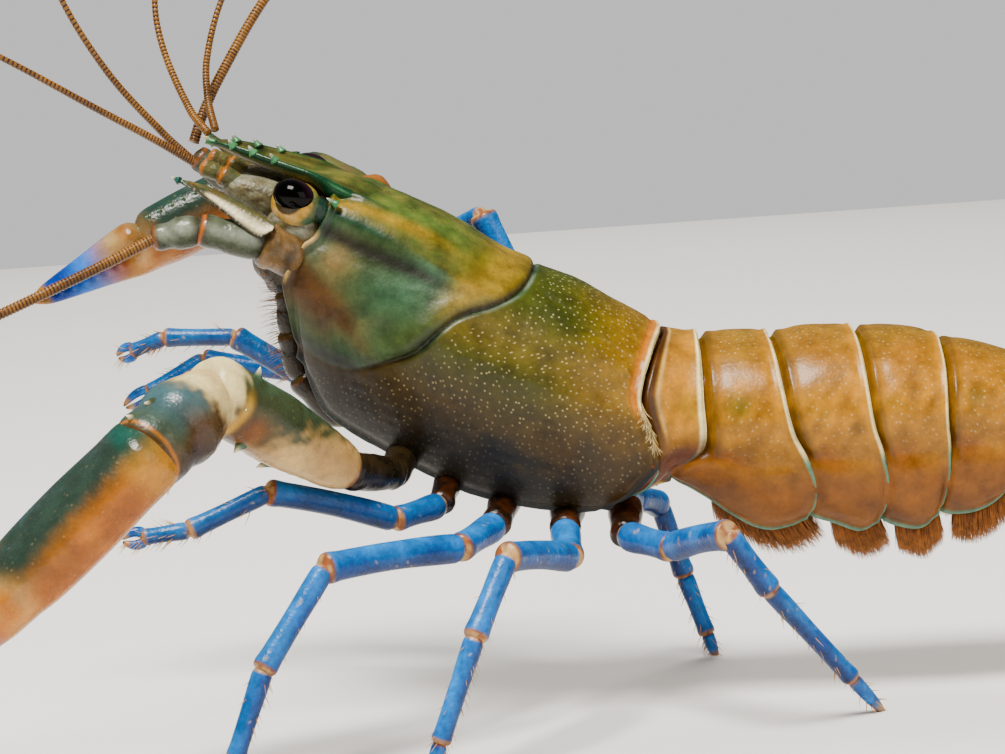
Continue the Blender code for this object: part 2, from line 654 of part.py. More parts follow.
def blade(name, root, heading, length, half_width, colour, sides=8):
    """A rounded plate of the tail fan: root, outward heading and outline."""
    outline = [(0, 0.62), (0.3, 0.96), (0.65, 1.0), (0.86, 0.82), (0.96, 0.5), (1, 0.2)]
    turn = math.radians(heading)
    rings = []
    for x, share in outline:
        s = root[0] + x * length * math.cos(turn)
        side = root[1] + x * length * math.sin(turn)
        h = root[2] - 0.5 * abs(math.sin(turn)) * x
        half, thick = half_width * share, 1.0 - 0.62 * x
        ring = []
        for k in range(sides):
            t = 2 * math.pi * (k + 0.5) / sides
            along_width = half * math.cos(t)
            ring.append((s - along_width * math.sin(turn), side + along_width * math.cos(turn),
                         h + thick * math.sin(t) * (0.9 + 0.1 * math.cos(t))))
        rings.append(ring)
    return name, rings, colour


def make_tail_fan():
    """Telson in the middle and two plates on each side."""
    plates = []
    for key, (root, heading, length, half_width) in TAIL_FAN.items():
        for sign in ((1,) if key == "telson" else (1, -1)):
            suffix = "" if key == "telson" else ("_left" if sign > 0 else "_right")
            name, rings, colour = blade(key + suffix, root, heading, length, half_width, OCHRE)
            mesh = loft([[on_tail(s, sign * side, h) for s, side, h in ring] for ring in rings])
            plate = add(name, mesh, colour)
            tufts = []
            turn = math.radians(heading)
            count = 5
            for k in range(count):
                t = -1 + 2 * k / (count - 1)
                reach = length * (0.93 - 0.16 * t * t)
                across = half_width * 0.72 * t
                s = root[0] + reach * math.cos(turn) - across * math.sin(turn)
                side = root[1] + reach * math.sin(turn) + across * math.cos(turn)
                fan_out = turn + 0.5 * t
                start = on_tail(s, sign * side, root[2] - 0.5 * abs(math.sin(turn)))
                end = on_tail(s + 2 * math.cos(fan_out), sign * (side + 2 * math.sin(fan_out)), root[2] - 0.7)
                tufts.append(lock(start, end - start, 2.3, 0.55, Vector((0, 0, 0)), 1.0))
            plates.append(fuse(plate, tufts))
    return plates


def make_eyes():
    """Dark eyes on short stalks, under the sides of the rostrum."""
    eyes, stalks = [], []
    for sign, side in ((1, "left"), (-1, "right")):
        back, left, up = SHELL_AXES
        outward = (left * sign * 0.86 - back * 0.42 + up * 0.28).normalized()
        ahead = (-back - outward * (-back).dot(outward)).normalized()
        frame = (outward, ahead, outward.cross(ahead))
        centre = on_body(10.4, sign * 6.0, -0.4)
        eyes.append(add(f"eye_{side}", ball(centre, (1.75, 2.1, 1.65), frame), BLACK, 0.08))
        bulb = add(f"eyestalk_{side}", ball(centre - outward * 1.15, (2.2, 2.55, 2.35), frame), CREAM)
        neck = article(on_body(11.6, sign * 1.6, -1.9), centre - outward * 0.8, 1.5, 1.7, 8)
        stalks.append(fuse(bulb, [neck]))
    return eyes, stalks


def make_antennule(side, sign):
    """Three short articles beneath the rostrum, carrying two fine feelers."""
    joints = [on_body(s, sign * l, h) for s, l, h in ANTENNULE_JOINTS]
    piece = add(f"antennule_{side}", article(joints[0], joints[1], 1.3, 1.35), CREAM)
    return fuse(piece, [article(joints[1], joints[2], 1.15, 1.2), article(joints[2], joints[3], 1.0, 1.05)])


def whip(name, points, radii, colour, spacing=6.5):
    """A tapering feeler along a smooth line, as a bevelled curve made into a mesh."""
    points = [Vector(p) for p in points]
    lengths = [0.0]
    for a, b in zip(points, points[1:]):
        lengths.append(lengths[-1] + (b - a).length)
    table = list(zip(lengths, points))
    count = max(int(lengths[-1] / spacing), 5)
    curve = bpy.data.curves.new(name, "CURVE")
    curve.dimensions = "3D"
    curve.bevel_depth = radii[0] * MM
    curve.bevel_resolution = 1
    curve.use_fill_caps = True
    spline = curve.splines.new("POLY")
    spline.points.add(count)
    for k, point in enumerate(spline.points):
        place = along(table, lengths[-1] * k / count) * MM
        point.co = (*place, 1)
        point.radius = 1 - (1 - radii[1] / radii[0]) * k / count
    guide = bpy.data.objects.new(name + "_curve", curve)
    cutters.objects.link(guide)
    evaluated = guide.evaluated_get(bpy.context.evaluated_depsgraph_get())
    data = bpy.data.meshes.new_from_object(evaluated)
    mesh = bmesh.new()
    mesh.from_mesh(data)
    bmesh.ops.remove_doubles(mesh, verts=mesh.verts, dist=0.00001)
    bmesh.ops.recalc_face_normals(mesh, faces=mesh.faces)
    bpy.data.objects.remove(guide)
    bpy.data.meshes.remove(data)
    return add(name, mesh, colour)


def make_antenna_base(side, sign):
    """The thick basal articles of the long antenna."""
    joints = [on_body(s, sign * l, h) for s, l, h in ANTENNA_JOINTS[side]]
    piece = add(f"antenna_base_{side}", article(joints[0], joints[1], 2.5, 2.3, 10), GREY_GREEN)
    return fuse(piece, [article(joints[1], joints[2], 1.7, 1.65), article(joints[2], joints[3], 1.45, 1.5)])


def make_antenna_scale(side, sign):
    """The flat pointed blade over the antenna, thickest at its outer edge."""
    rings = []
    for (s, l, h), w in zip(SCALE_EDGE[side], SCALE_WIDTHS):
        section = [(0, 0.28), (-0.3 * w, 0.3), (-0.7 * w, 0.25), (-w, 0.1), (-w, -0.15), (-0.7 * w, -0.3),
                   (-0.3 * w, -0.35), (0, -0.32)]
        rings.append([on_body(s, sign * (l + a), h + b + 0.35 * a / 4) for a, b in section])
    return add(f"antenna_scale_{side}", loft(rings), GREY_GREEN)


def make_maxilliped(side, sign):
    """The leg-like mouthpart that hangs before the mouth, fringed with bristles."""
    joints = [on_body(s, sign * l, h) for s, l, h in MAXILLIPED_JOINTS]
    flat = SHELL_AXES[1]
    piece = add(f"maxilliped_{side}", article(joints[0], joints[1], 1.6, 1.6, 6, flat), CREAM)
    extras = [article(joints[1], joints[2], 1.5, 1.4, 6, flat), article(joints[2], joints[3], 1.25, 1.1, 6, flat),
              article(joints[3], joints[4], 0.9, 0.5, 6, flat)]
    for k in range(6):
        t = k / 5
        root = joints[1].lerp(joints[3], t)
        ahead = -SHELL_AXES[0] * 1.0 - SHELL_AXES[2] * (0.9 - 0.9 * t)
        extras.append(lock(root + ahead * 0.5, ahead, 2.2, 0.45, -SHELL_AXES[2] * 0.5, 0.6))
    return fuse(piece, extras)


def make_leg(side, number, joints, sign):
    """A walking leg in two nodes, parted at the knee."""
    s, h = LEG_ROOTS[number]
    path = [on_body(s, sign * 4.6, h)] + [Vector(p) for p in joints]
    radii = [radius * LEG_SIZES[number] for radius in LEG_RADII]
    name = f"leg_{side}_{number}"
    upper = add(name + "_upper", article(path[0], path[1], radii[0], radii[0] * 0.8), BLUE)
    fuse(upper, [article(path[1], path[2], radii[1], radii[1] * 0.9),
                 article(path[2], path[3], radii[2], radii[1] * 0.85)])
    wrist, foot = path[4], path[5]
    ankle = wrist.lerp(foot, 0.7)
    lower = add(name + "_lower", article(path[3], wrist, radii[3], radii[3] * 1.05), BLUE)
    extras = [article(wrist, ankle, radii[4] * 1.05, radii[4])]
    if number < 4:
        axis, across, thick = frame_along(wrist, foot, Vector((0, 0, 1)))
        for shift, reach in ((0.42, 1.0), (-0.42, 0.97)):
            finger = foot.lerp(ankle, 1 - reach)
            extras.append(article(ankle - axis * 0.3 + across * shift, finger + across * shift * 0.45, 0.5, 0.4, 7))
    else:
        extras.append(article(ankle, foot, radii[4] * 0.8, radii[5], 7))
    return upper, fuse(lower, extras)


def claw_frame(claw, width_hint):
    """Origin and directions of a hand: along it, towards its moving finger, and through it."""
    wrist, tip = Vector(claw[2]), Vector(claw[3])
    axis, across, thick = frame_along(wrist, tip, width_hint)
    return wrist, axis, across, thick


def hand_part(frame, stations, scale, sides=12):
    """Closed form through rounded sections of a hand, drawn for a hand of its full length."""
    wrist, axis, across, thick = frame
    return loft([ellipse(wrist + (axis * x + across * y) * scale, across, thick, hw * scale, ht * scale, sides)
                 for x, y, hw, ht in stations])


def make_claw(side, joints, sign, width_hint):
    """A cheliped: base, merus, carpus, palm with fixed finger, and moving finger."""
    root = on_body(CLAW_ROOT[0], sign * 4.4, CLAW_ROOT[1])
    points = [Vector(p) for p in joints]
    bend = root.lerp(points[0], 0.55) + Vector(CLAW_BEND) * (1 if sign > 0 else 0.5)
    base = add(f"claw_{side}_base", article(root, bend, CLAW_RADII[0], CLAW_RADII[0], 10), CREAM)
    fuse(base, [article(bend, points[0], CLAW_RADII[0] * 0.9, CLAW_RADII[0] * 0.95, 10)])
    merus = add(f"claw_{side}_merus", article(points[0], points[1], CLAW_RADII[1], CLAW_RADII[2], 12), GREY_GREEN)
    axis, across, thick = frame_along(points[0], points[1], Vector((-1, 0, 0)))
    spines = []
    for t, turn in MERUS_SPINES:
        outward = across * math.cos(turn) + thick * math.sin(turn)
        place = points[0].lerp(points[1], t) + outward * 3.1
        spines.append(spine(place, place + outward * 1.5 + axis * 0.7, 0.6))
    fuse(merus, spines)
    wrist = article(points[1], points[2], CLAW_RADII[3] * 1.08, CLAW_RADII[3] * 0.96, 12)
    carpus = add(f"claw_{side}_carpus", wrist, GREY_GREEN)
    axis, across, thick = frame_along(points[1], points[2], Vector((0, 0, -1)))
    place = points[1].lerp(points[2], 0.9) + across * 3.4
    fuse(carpus, [spine(place, place + across * 1.2 + axis * 0.8, 0.6)])
    frame = claw_frame(joints, width_hint)
    scale = (points[3] - points[2]).length / HAND_LENGTH
    palm = add(f"claw_{side}_palm", hand_part(frame, PALM, scale), GREY_GREEN)
    fuse(palm, [hand_part(frame, FIXED_FINGER, scale)])
    finger = add(f"claw_{side}_finger", hand_part(frame, MOVING_FINGER, scale), ORANGE)
    return base, merus, carpus, palm, finger


def build():
    """Make every piece, then trim each one clear of those that are listed before it."""
    head, thorax = make_head_and_thorax()
    order = [thorax, head, make_sternum()]
    order += [make_segment(index) for index in range(1, 7)]
    order += make_tail_fan()
    eyes, stalks = make_eyes()
    order += eyes + stalks
    for side, sign in (("left", 1), ("right", -1)):
        order += [make_antennule(side, sign), make_antenna_base(side, sign), make_antenna_scale(side, sign),
                  make_maxilliped(side, sign)]
    for side, feelers in (("left", LEFT_FEELERS), ("right", RIGHT_FEELERS)):
        for place, points in feelers.items():
            order.append(whip(f"feeler_{side}_{place}", points, FEELER_RADII, BROWN))
    order.append(whip("antenna_left", LEFT_WHIP, WHIP_RADII, BROWN))
    order.append(whip("antenna_right", RIGHT_WHIP, WHIP_RADII, BROWN))
    order += make_claw("left", LEFT_CLAW, 1, Vector((0, 1, 0.6)))
    order += make_claw("right", RIGHT_CLAW, -1, Vector((0, -1.2, 1)))
    feet = []
    for side, legs, sign in (("left", LEFT_LEGS, 1), ("right", RIGHT_LEGS, -1)):
        for number, joints in legs.items():
            upper, lower = make_leg(side, number, joints, sign)
            order += [upper, lower]
            feet.append(lower)
    for i, piece in enumerate(order):
        for neighbour in order[:i]:
            clear_of(piece, neighbour)
    for foot in feet:
        if min(v.co.z for v in foot.data.vertices) < 0:
            floor = bmesh.new()
            bmesh.ops.create_cube(floor, size=0.2, matrix=Matrix.Translation((0.05, 0, -0.1)))
            cut(foot, floor)
    for piece in order:
        piece.data.transform(Matrix.Translation(-FOOTPRINT_CENTRE * MM))
        piece.data.shade_smooth()


build()
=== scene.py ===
import math

import bpy
import numpy as np
from mathutils import Matrix, Vector


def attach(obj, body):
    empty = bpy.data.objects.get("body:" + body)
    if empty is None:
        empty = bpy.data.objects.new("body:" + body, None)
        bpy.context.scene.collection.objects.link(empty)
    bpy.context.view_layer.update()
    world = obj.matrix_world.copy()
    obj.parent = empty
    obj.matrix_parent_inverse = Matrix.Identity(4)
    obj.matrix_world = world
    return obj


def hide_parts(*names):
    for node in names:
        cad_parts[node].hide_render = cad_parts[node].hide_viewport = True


# A freshwater crayfish in life colours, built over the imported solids.
# Shapes are worked out in millimetres, head towards -X and left side towards -Y, as in the solids.
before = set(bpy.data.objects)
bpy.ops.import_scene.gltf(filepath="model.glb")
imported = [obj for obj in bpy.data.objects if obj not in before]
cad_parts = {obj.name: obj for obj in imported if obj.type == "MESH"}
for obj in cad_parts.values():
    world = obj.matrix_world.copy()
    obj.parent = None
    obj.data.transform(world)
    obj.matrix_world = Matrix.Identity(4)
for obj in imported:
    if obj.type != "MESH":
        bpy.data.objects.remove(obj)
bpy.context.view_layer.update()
MM = 0.001
FOOTPRINT_CENTRE = np.array((27.63, 0.0, 0.0))
# Deepens the colours so that they hold under bright light
TINT_DEPTH = 1.22
# Lowest place of any piece above the floor
LEAST_HEIGHT = 0.01
# Width of each hair's patch on the map
PATCH = 0.003

# Front body: the same driving sections as in the solids
ROSTRUM_TIP = np.array((22.5, 0.0, 59.2))
CARAPACE_PITCH, CARAPACE_ROLL, SHELL_TURN = 26.0, 12.0, 70.0
SHELL_TOP = [(10, 2.0), (16.7, 2.4), (24.4, 2.3), (30.5, 1.2), (34.8, 0.7), (39.3, 0.9),
             (44.5, 0.2), (49.1, -0.3), (54, -1.0)]
SHELL_WIDTH = [(10, 7.6), (14, 8.2), (20, 9.6), (27, 11.0), (35, 11.5), (43, 11.6), (50, 10.7), (54, 10.2)]
SHELL_MID = [(10, -8.0), (20, -8.6), (35, -9.6), (54, -9.8)]
SHELL_LOW = [(14, -12.5), (15.8, -14.0), (18.1, -16.8), (21.2, -19.5), (27.4, -20.6), (36.3, -21.2),
             (40.4, -20.8), (45.6, -19.5), (49.3, -18.0), (51.4, -16.4), (54, -14.0)]
SHELL_EDGE = [(14, 6.2), (20, 6.6), (28, 7.4), (36, 8.2), (50, 8.6)]
SHELL_FRONT = [(0, 12.5), (0.2, 13.6), (0.32, 13.6), (0.4, 12.4), (0.5, 12.3), (0.65, 13.2), (0.8, 14.3),
               (1, 16.5)]
SHELL_REAR = [(0, 49.1), (0.16, 48.8), (0.3, 49.0), (0.36, 49.6), (0.42, 51.2), (0.5, 53.0), (0.6, 53.5),
              (0.7, 53.2), (0.85, 52.4), (1, 50.8)]
CERVICAL_GROOVE = [(35.0, 1.5), (34.9, 0.9), (34.3, -0.5), (32.4, -2.2), (29.3, -4.5), (26.9, -8.9),
                   (24.9, -10.9), (22.7, -12.8), (21.2, -13.6), (18.5, -13.9), (14.0, -13.6)]
ROSTRUM_HEIGHT = [(0, 0.1), (2.5, 0.8), (6.8, 1.3), (10.6, 1.7), (16.5, 2.2), (20.5, 2.3)]
ROSTRUM_WIDTH = [(0, 0.25), (2.5, 1.2), (6.8, 2.3), (10.6, 3.0), (16.5, 3.8), (20.5, 4.4)]
ROSTRAL_SPINES = (2.4, 4.5, 6.8)

# Abdomen
TAIL_START = np.array((66.9, 0.0, 37.2))
TAIL_LENGTH = 60.0
TAIL_PITCH = [(0, 12), (5, 4), (13, -1), (19, 3), (26, 8), (32, 15), (38, 21), (45, 32), (52, 42), (60, 48)]
TAIL_BACK = [(20, 0), (24, -0.2), (28, -0.6), (32, -1.0), (36, -1.1), (45, -1.1)]
FAR_LAG, LAG_END = 0.0088, 26.0
TAIL_ROLL = [(0, 12), (20, 8), (36, 3), (45, 0), (60, 0)]
TAIL_WIDTH = [(0, 8.6), (3, 9.0), (8, 9.6), (20, 9.7), (30, 9.2), (38, 8.2), (45, 7.0)]
TAIL_MID = [(0, -8.0), (20, -8.0), (38, -6.5), (45, -5.0)]
TAIL_LOW = [(0, -14.0), (3, -14.5), (8, -17.8), (14, -18.2), (20, -19.0), (28, -18.3), (36, -15.5),
            (41, -10.8), (46, -9.0)]
TAIL_EDGE = [(0, 7.0), (10, 8.4), (28, 8.4), (38, 7.0), (45, 5.6)]
SEGMENT_ENDS = (3.2, 10.2, 18.7, 27.2, 36.5, 45.0)
SIDE_PLATE = [(0, 0), (0.35, 0.9), (0.5, 1.8), (0.61, 3.3), (0.75, 4.7), (0.88, 4.3), (1, 3.0)]
FIRST_PLATE = [(0, 0), (0.35, 0.3), (0.5, 0.6), (0.62, 0.3), (0.75, -0.9), (0.88, -1.6), (1, -1.5)]
PLATE_SHARES = (0.0, 0.68, 0.7, 0.5, 0.5, 0.0)
PLATE_DEPTH = [(0, 0.93), (0.2, 0.965), (0.65, 1.0), (0.9, 0.965), (1, 0.93)]
TAIL_TOP = [(0, -0.2), (0.45, 0.15), (1, 0.05)]


def hex_colour(text):
    """Linear colour of a screen colour written as six hexadecimal digits."""
    parts = np.array([int(text[i:i + 2], 16) / 255 for i in (0, 2, 4)])
    return np.where(parts <= 0.04045, parts / 12.92, ((parts + 0.055) / 1.055) ** 2.4)


C = {name: hex_colour(text) for name, text in {
    "olive": "5c5618", "green": "4a6426", "dark_olive": "2a260a", "deep_brown": "1c150b", "brown": "48290a",
    "carina": "05442c", "carina_pale": "4a8258", "rostrum": "7c7434", "yellow": "b08a10", "teal": "1f5f52",
    "teal_grey": "4a6a50", "rust": "7a3806", "peach": "a8814c", "white": "f2e4c0", "cream": "d4b478",
    "orange": "c07a06", "amber": "a06006", "slate": "232e32", "membrane": "8e4a08", "plate_brown": "643608",
    "ochre": "946006", "ochre_light": "c08a2c", "rim_blue": "5a9a88", "rust_red": "843c04", "black": "040304",
    "violet_brown": "2a1420", "eye_yellow": "d0a43a", "eye_teal": "0e5a4e", "pearl": "a9ada0",
    "grey_green": "4c573c", "scale_dark": "3c301a", "blue": "003f96", "sky": "0480d8",
    "lilac": "8a78a8", "joint_orange": "b8640a", "bristle": "70400e", "bristle_pale": "a8733a",
    "ring_dark": "3c1c0c", "ring_pale": "a87a30", "sand": "9c7c50", "dorsal_green": "2e4a16",
    "dorsal_light": "587434", "thorax_green": "48500c", "thorax_gold": "8a6a08", "thorax_mid": "483406",
    "thorax_low": "1c1304", "cheek_olive": "46501c", "cheek_dark": "121c0e", "palm_orange": "9c5c02",
    "palm_dark": "34463c", "palm_blue": "4a6a70", "leg_blue": "005298", "leg_light": "1094dc",
    "leg_dark": "001a4a", "coxa": "1e140a", "rust_brown": "5a3a10", "gold": "c89002",
    "gold_deep": "986a04", "plate_rust": "825006",
    "rim_cream": "f4e2a8", "lobe": "5a3028", "flesh": "6e6436", "cup": "a8862a", "hair": "a8661c",
    "speck": "d8c48c"}.items()}


# Number helpers

WAVE_COUNT = 9


def along(table, x):
    """Smooth value at x through the (x, value) pairs of a table, for arrays too."""
    xs = np.array([p[0] for p in table], float)
    ys = np.array([p[1] for p in table], float)
    place = np.arange(len(xs))
    before = np.clip(place - 1, 0, None)
    after = np.clip(place + 1, None, len(xs) - 1)
    spread = (xs[after] - xs[before]).reshape((-1,) + (1,) * (ys.ndim - 1))
    slopes = (ys[after] - ys[before]) / spread
    x = np.clip(x, xs[0], xs[-1])
    i = np.clip(np.searchsorted(xs, x, side="right") - 1, 0, len(xs) - 2)
    span = xs[i + 1] - xs[i]
    t = (x - xs[i]) / span
    if ys.ndim > 1:
        span, t = span[..., None], t[..., None]
    return (ys[i] * (1 + 2 * t) * (1 - t) ** 2 + ys[i + 1] * t * t * (3 - 2 * t)
            + slopes[i] * span * t * (1 - t) ** 2 - slopes[i + 1] * span * t * t * (1 - t))


def smooth(x, low, high):
    """Smooth step from 0 at low to 1 at high."""
    t = np.clip((x - low) / (high - low), 0, 1)
    return t * t * (3 - 2 * t)


def bell(x, middle, width):
    """Bell curve of height 1."""
    return np.exp(-((x - middle) / width) ** 2)


def mix(a, b, weight):
    """Blend two colours, or arrays of colours, by a weight per point."""
    weight = np.clip(np.asarray(weight, float), 0, 1)[..., None]
    return np.asarray(a) * (1 - weight) + np.asarray(b) * weight


def coats(tint, layers):
    """Blend colours over a tint one after another, each given by name or value with its weight."""
    for colour, weight in layers:
        tint = mix(tint, C[colour] if isinstance(colour, str) else colour, weight)
    return tint


def waves(points, size, seed):
    """Smooth irregular values between about -1 and 1 that vary over a distance of size."""
    source = np.random.default_rng(seed)
    total = np.zeros(points.shape[:-1])
    for _ in range(WAVE_COUNT):
        direction = source.normal(size=3)
        direction *= 2 * math.pi / size * (0.5 + source.random()) / np.linalg.norm(direction)
        total += np.sin(points @ direction + source.random() * 6.283)
    return total / math.sqrt(WAVE_COUNT) / 1.3


def unit(v):
    """Vectors scaled to length 1."""
    v = np.asarray(v, float)
    return v / np.maximum(np.linalg.norm(v, axis=-1, keepdims=True), 1e-9)


# Places on the animal

def axes(pitch, roll):
    """Backward, leftward and upward directions of a body pitched head up and rolled to the left."""
    p, r = np.radians(pitch)[..., None], np.radians(roll)[..., None]
    zero = np.zeros_like(p)
    back = np.concatenate([np.cos(p), zero, -np.sin(p)], -1)
    up = np.concatenate([np.sin(p), zero, np.cos(p)], -1)
    left = np.concatenate([zero, zero - 1, zero], -1)
    return back, left * np.cos(r) - up * np.sin(r), up * np.cos(r) + left * np.sin(r)


BACK, LEFT, UP = axes(np.array(CARAPACE_PITCH), np.array(CARAPACE_ROLL))


def on_body(s, side, h):
    """Points of the front body: s behind the rostrum's tip, side to the left and h upwards."""
    s, side, h = (np.asarray(v, float)[..., None] for v in (s, side, h))
    return ROSTRUM_TIP + BACK * s + LEFT * side + UP * h


def arch(theta, width, top, mid, low, edge):
    """Half section of a shell: mid-line at 0, widest point at 0.5, lower edge at 1."""
    upper = theta * math.pi
    turn = math.radians(SHELL_TURN)
    lower = (2 * theta - 1) * turn
    above = theta <= 0.5
    side = np.where(above, width * np.sin(upper),
                    width - (width - edge) * (1 - np.cos(lower)) / (1 - math.cos(turn)))
    h = np.where(above, mid + (top - mid) * np.cos(upper), mid + (low - mid) * np.sin(lower) / math.sin(turn))
    return side, h


def shell_section(s, theta):
    """Sideways and upward place on the carapace."""
    return arch(theta, along(SHELL_WIDTH, s), along(SHELL_TOP, s), along(SHELL_MID, s), along(SHELL_LOW, s),
                along(SHELL_EDGE, s))


def roof_height(s, l):
    """Height of the carapace's upper side at a distance l from the mid-line."""
    mid = along(SHELL_MID, s)
    return mid + (along(SHELL_TOP, s) - mid) * np.sqrt(np.clip(1 - (l / along(SHELL_WIDTH, s)) ** 2, 0, 1))


def joints_on_body(table, sign):
    """Joints of a head limb given as distance back, sideways and up."""
    return [on_body(s, sign * l, h) for s, l, h in table]


def tail_path():
    """Points along the back of the abdomen, half a millimetre apart."""
    steps = np.arange(int(TAIL_LENGTH * 2) + 1) / 2
    forward = axes(along(TAIL_PITCH, steps), np.zeros_like(steps))[0] * 0.5
    return TAIL_START + np.concatenate([np.zeros((1, 3)), np.cumsum(forward, 0)])[:-1]


TAIL_POINTS = tail_path()


def on_tail(s, side, h):
    """Points of the abdomen: s behind the carapace, side to the left and h upwards."""
    s, side, h = np.broadcast_arrays(*(np.asarray(v, float) for v in (s, side, h)))
    k = np.clip((s * 2).astype(int), 0, len(TAIL_POINTS) - 2)
    t = (s * 2 - k)[..., None]
    start = TAIL_POINTS[k] * (1 - t) + TAIL_POINTS[k + 1] * t
    back, left, up = axes(along(TAIL_PITCH, s), along(TAIL_ROLL, s))
    lag = FAR_LAG * np.clip(1 - s / LAG_END, 0, None) * np.minimum(side, 0) ** 2
    return start + left * side[..., None] + up * h[..., None] + back * lag[..., None]


# Meshes

def normals_of(points):
    """Unit normals of a grid of points, all to one side."""
    return unit(np.cross(np.gradient(points, axis=0), np.gradient(points, axis=1)))


def net(start, end, rows, cols):
    """Distances along a closed form and angles round it, as two grids."""
    return np.meshgrid(np.linspace(start, end, rows), np.linspace(0, 2 * math.pi, cols, endpoint=False),
                       indexing="ij")


class Surface:
    """Grids of points with colours, joined in one mesh.

    Each point has a tint, and a mask of speckles, gloss and wetness read by the shell material.
    """

    def __init__(self):
        self.points, self.tints, self.masks, self.faces, self.uvs = [], [], [], [], []
        self.count = 0

    def add(self, points, tint, mask, faces, uvs):
        """Points with their faces and one uv pair for each corner."""
        flat = points.reshape(-1, 3)
        self.points.append(flat)
        self.tints.append(np.broadcast_to(tint, points.shape).reshape(-1, 3))
        self.masks.append(np.broadcast_to(mask, points.shape).reshape(-1, 3))
        for face, uv in zip(faces, uvs):
            self.faces.append(face + self.count)
            self.uvs.append(uv)
        self.count += len(flat)

    def grid(self, points, tint, mask, wrap=False, caps=False, uv=None):
        """A sheet of quads, closed round its second direction if wrap, with its ends closed if caps."""
        rows, cols = points.shape[:2]
        if wrap:
            points_uv = np.concatenate([points, points[:, :1]], 1)
        else:
            points_uv = points
        if uv is None:
            u = np.concatenate([np.zeros((1, points_uv.shape[1])),
                                np.cumsum(np.linalg.norm(np.diff(points_uv, axis=0), axis=-1), 0)])
            steps = np.linalg.norm(np.diff(points_uv, axis=1), axis=-1)
            v = np.concatenate([np.zeros((rows, 1)), np.cumsum(steps, 1)], 1)
            uv = np.stack([u, v - v[:, -1:] / 2], -1) / 100
        i, j = np.meshgrid(np.arange(rows - 1), np.arange(cols if wrap else cols - 1), indexing="ij")
        after = (j + 1) % cols
        quads = np.stack([i * cols + j, i * cols + after, (i + 1) * cols + after, (i + 1) * cols + j], -1)
        corner_uv = np.stack([uv[i, j], uv[i, j + 1], uv[i + 1, j + 1], uv[i + 1, j]], -2)
        faces, uvs = [quads.reshape(-1, 4)], [corner_uv.reshape(-1, 4, 2)]
        if caps:
            ends = ((0, 1), (rows - 1, -1))
            hubs = np.stack([points[row].mean(0) for row, _ in ends])
            tint = np.broadcast_to(tint, points.shape).reshape(-1, 3)
            mask = np.broadcast_to(mask, points.shape).reshape(-1, 3)
            tint = np.concatenate([tint, tint[:1], tint[-1:]])
            mask = np.concatenate([mask, mask[:1], mask[-1:]])
            k = np.arange(cols)
            for n, (row, turn) in enumerate(ends):
                hub = np.full(cols, rows * cols + n)
                fan = np.stack([row * cols + k, hub, row * cols + (k + 1) % cols][::turn], -1)
                faces.append(fan)
                uvs.append(np.broadcast_to(uv[row, 0], (cols, 3, 2)))
            points = np.concatenate([points.reshape(-1, 3), hubs])
        self.add(points, tint, mask, faces, uvs)

    def closed(self, points, tint, mask):
        """A form closed round its second direction and at both ends."""
        self.grid(points, tint, mask, wrap=True, caps=True)

    def make(self, name, material, slot, replaces=(), bake_map=False):
        """The joined mesh as a smooth object that rides on the body."""
        points = np.concatenate(self.points) - FOOTPRINT_CENTRE
        points[:, 2] = np.maximum(points[:, 2], LEAST_HEIGHT)
        mesh = bpy.data.meshes.new(name)
        faces = [face for chunk in self.faces for face in chunk.tolist()]
        mesh.from_pydata((points * MM).tolist(), [], faces)
        layer = mesh.uv_layers.new(name="OFBake" if bake_map else "skin")
        layer.data.foreach_set("uv", np.concatenate([uv.reshape(-1, 2) for uv in self.uvs]).ravel())
        deep = np.clip(np.concatenate(self.tints), 0, 1) ** TINT_DEPTH
        for title, values in (("tint", deep), ("mask", np.concatenate(self.masks))):
            attribute = mesh.color_attributes.new(title, "FLOAT_COLOR", "POINT")
            colours = np.concatenate([values, np.ones((self.count, 1))], 1)
            attribute.data.foreach_set("color", colours.astype(np.float32).ravel())
        mesh.shade_smooth()
        piece = bpy.data.objects.new(name, mesh)
        bpy.context.scene.collection.objects.link(piece)
        mesh.materials.append(material)
        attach(piece, "root")
        if replaces:
            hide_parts(*replaces)


# Materials

def shader_of(name, **values):
    """A new material with its tree, its shader and a helper that adds linked nodes."""
    material = bpy.data.materials.new(name)
    material.use_nodes = True
    tree = material.node_tree
    shader = tree.nodes["Principled BSDF"]
    for socket, value in values.items():
        shader.inputs[socket.replace("_", " ")].default_value = value

    def node(kind, links=(), **settings):
        made = tree.nodes.new(kind)
        for key, value in settings.items():
            setattr(made, key, value)
        for socket, source in dict(links).items():
            if hasattr(source, "is_output"):
                tree.links.new(source, made.inputs[socket])
            else:
                made.inputs[socket].default_value = source
        return made

    return material, tree, shader, node


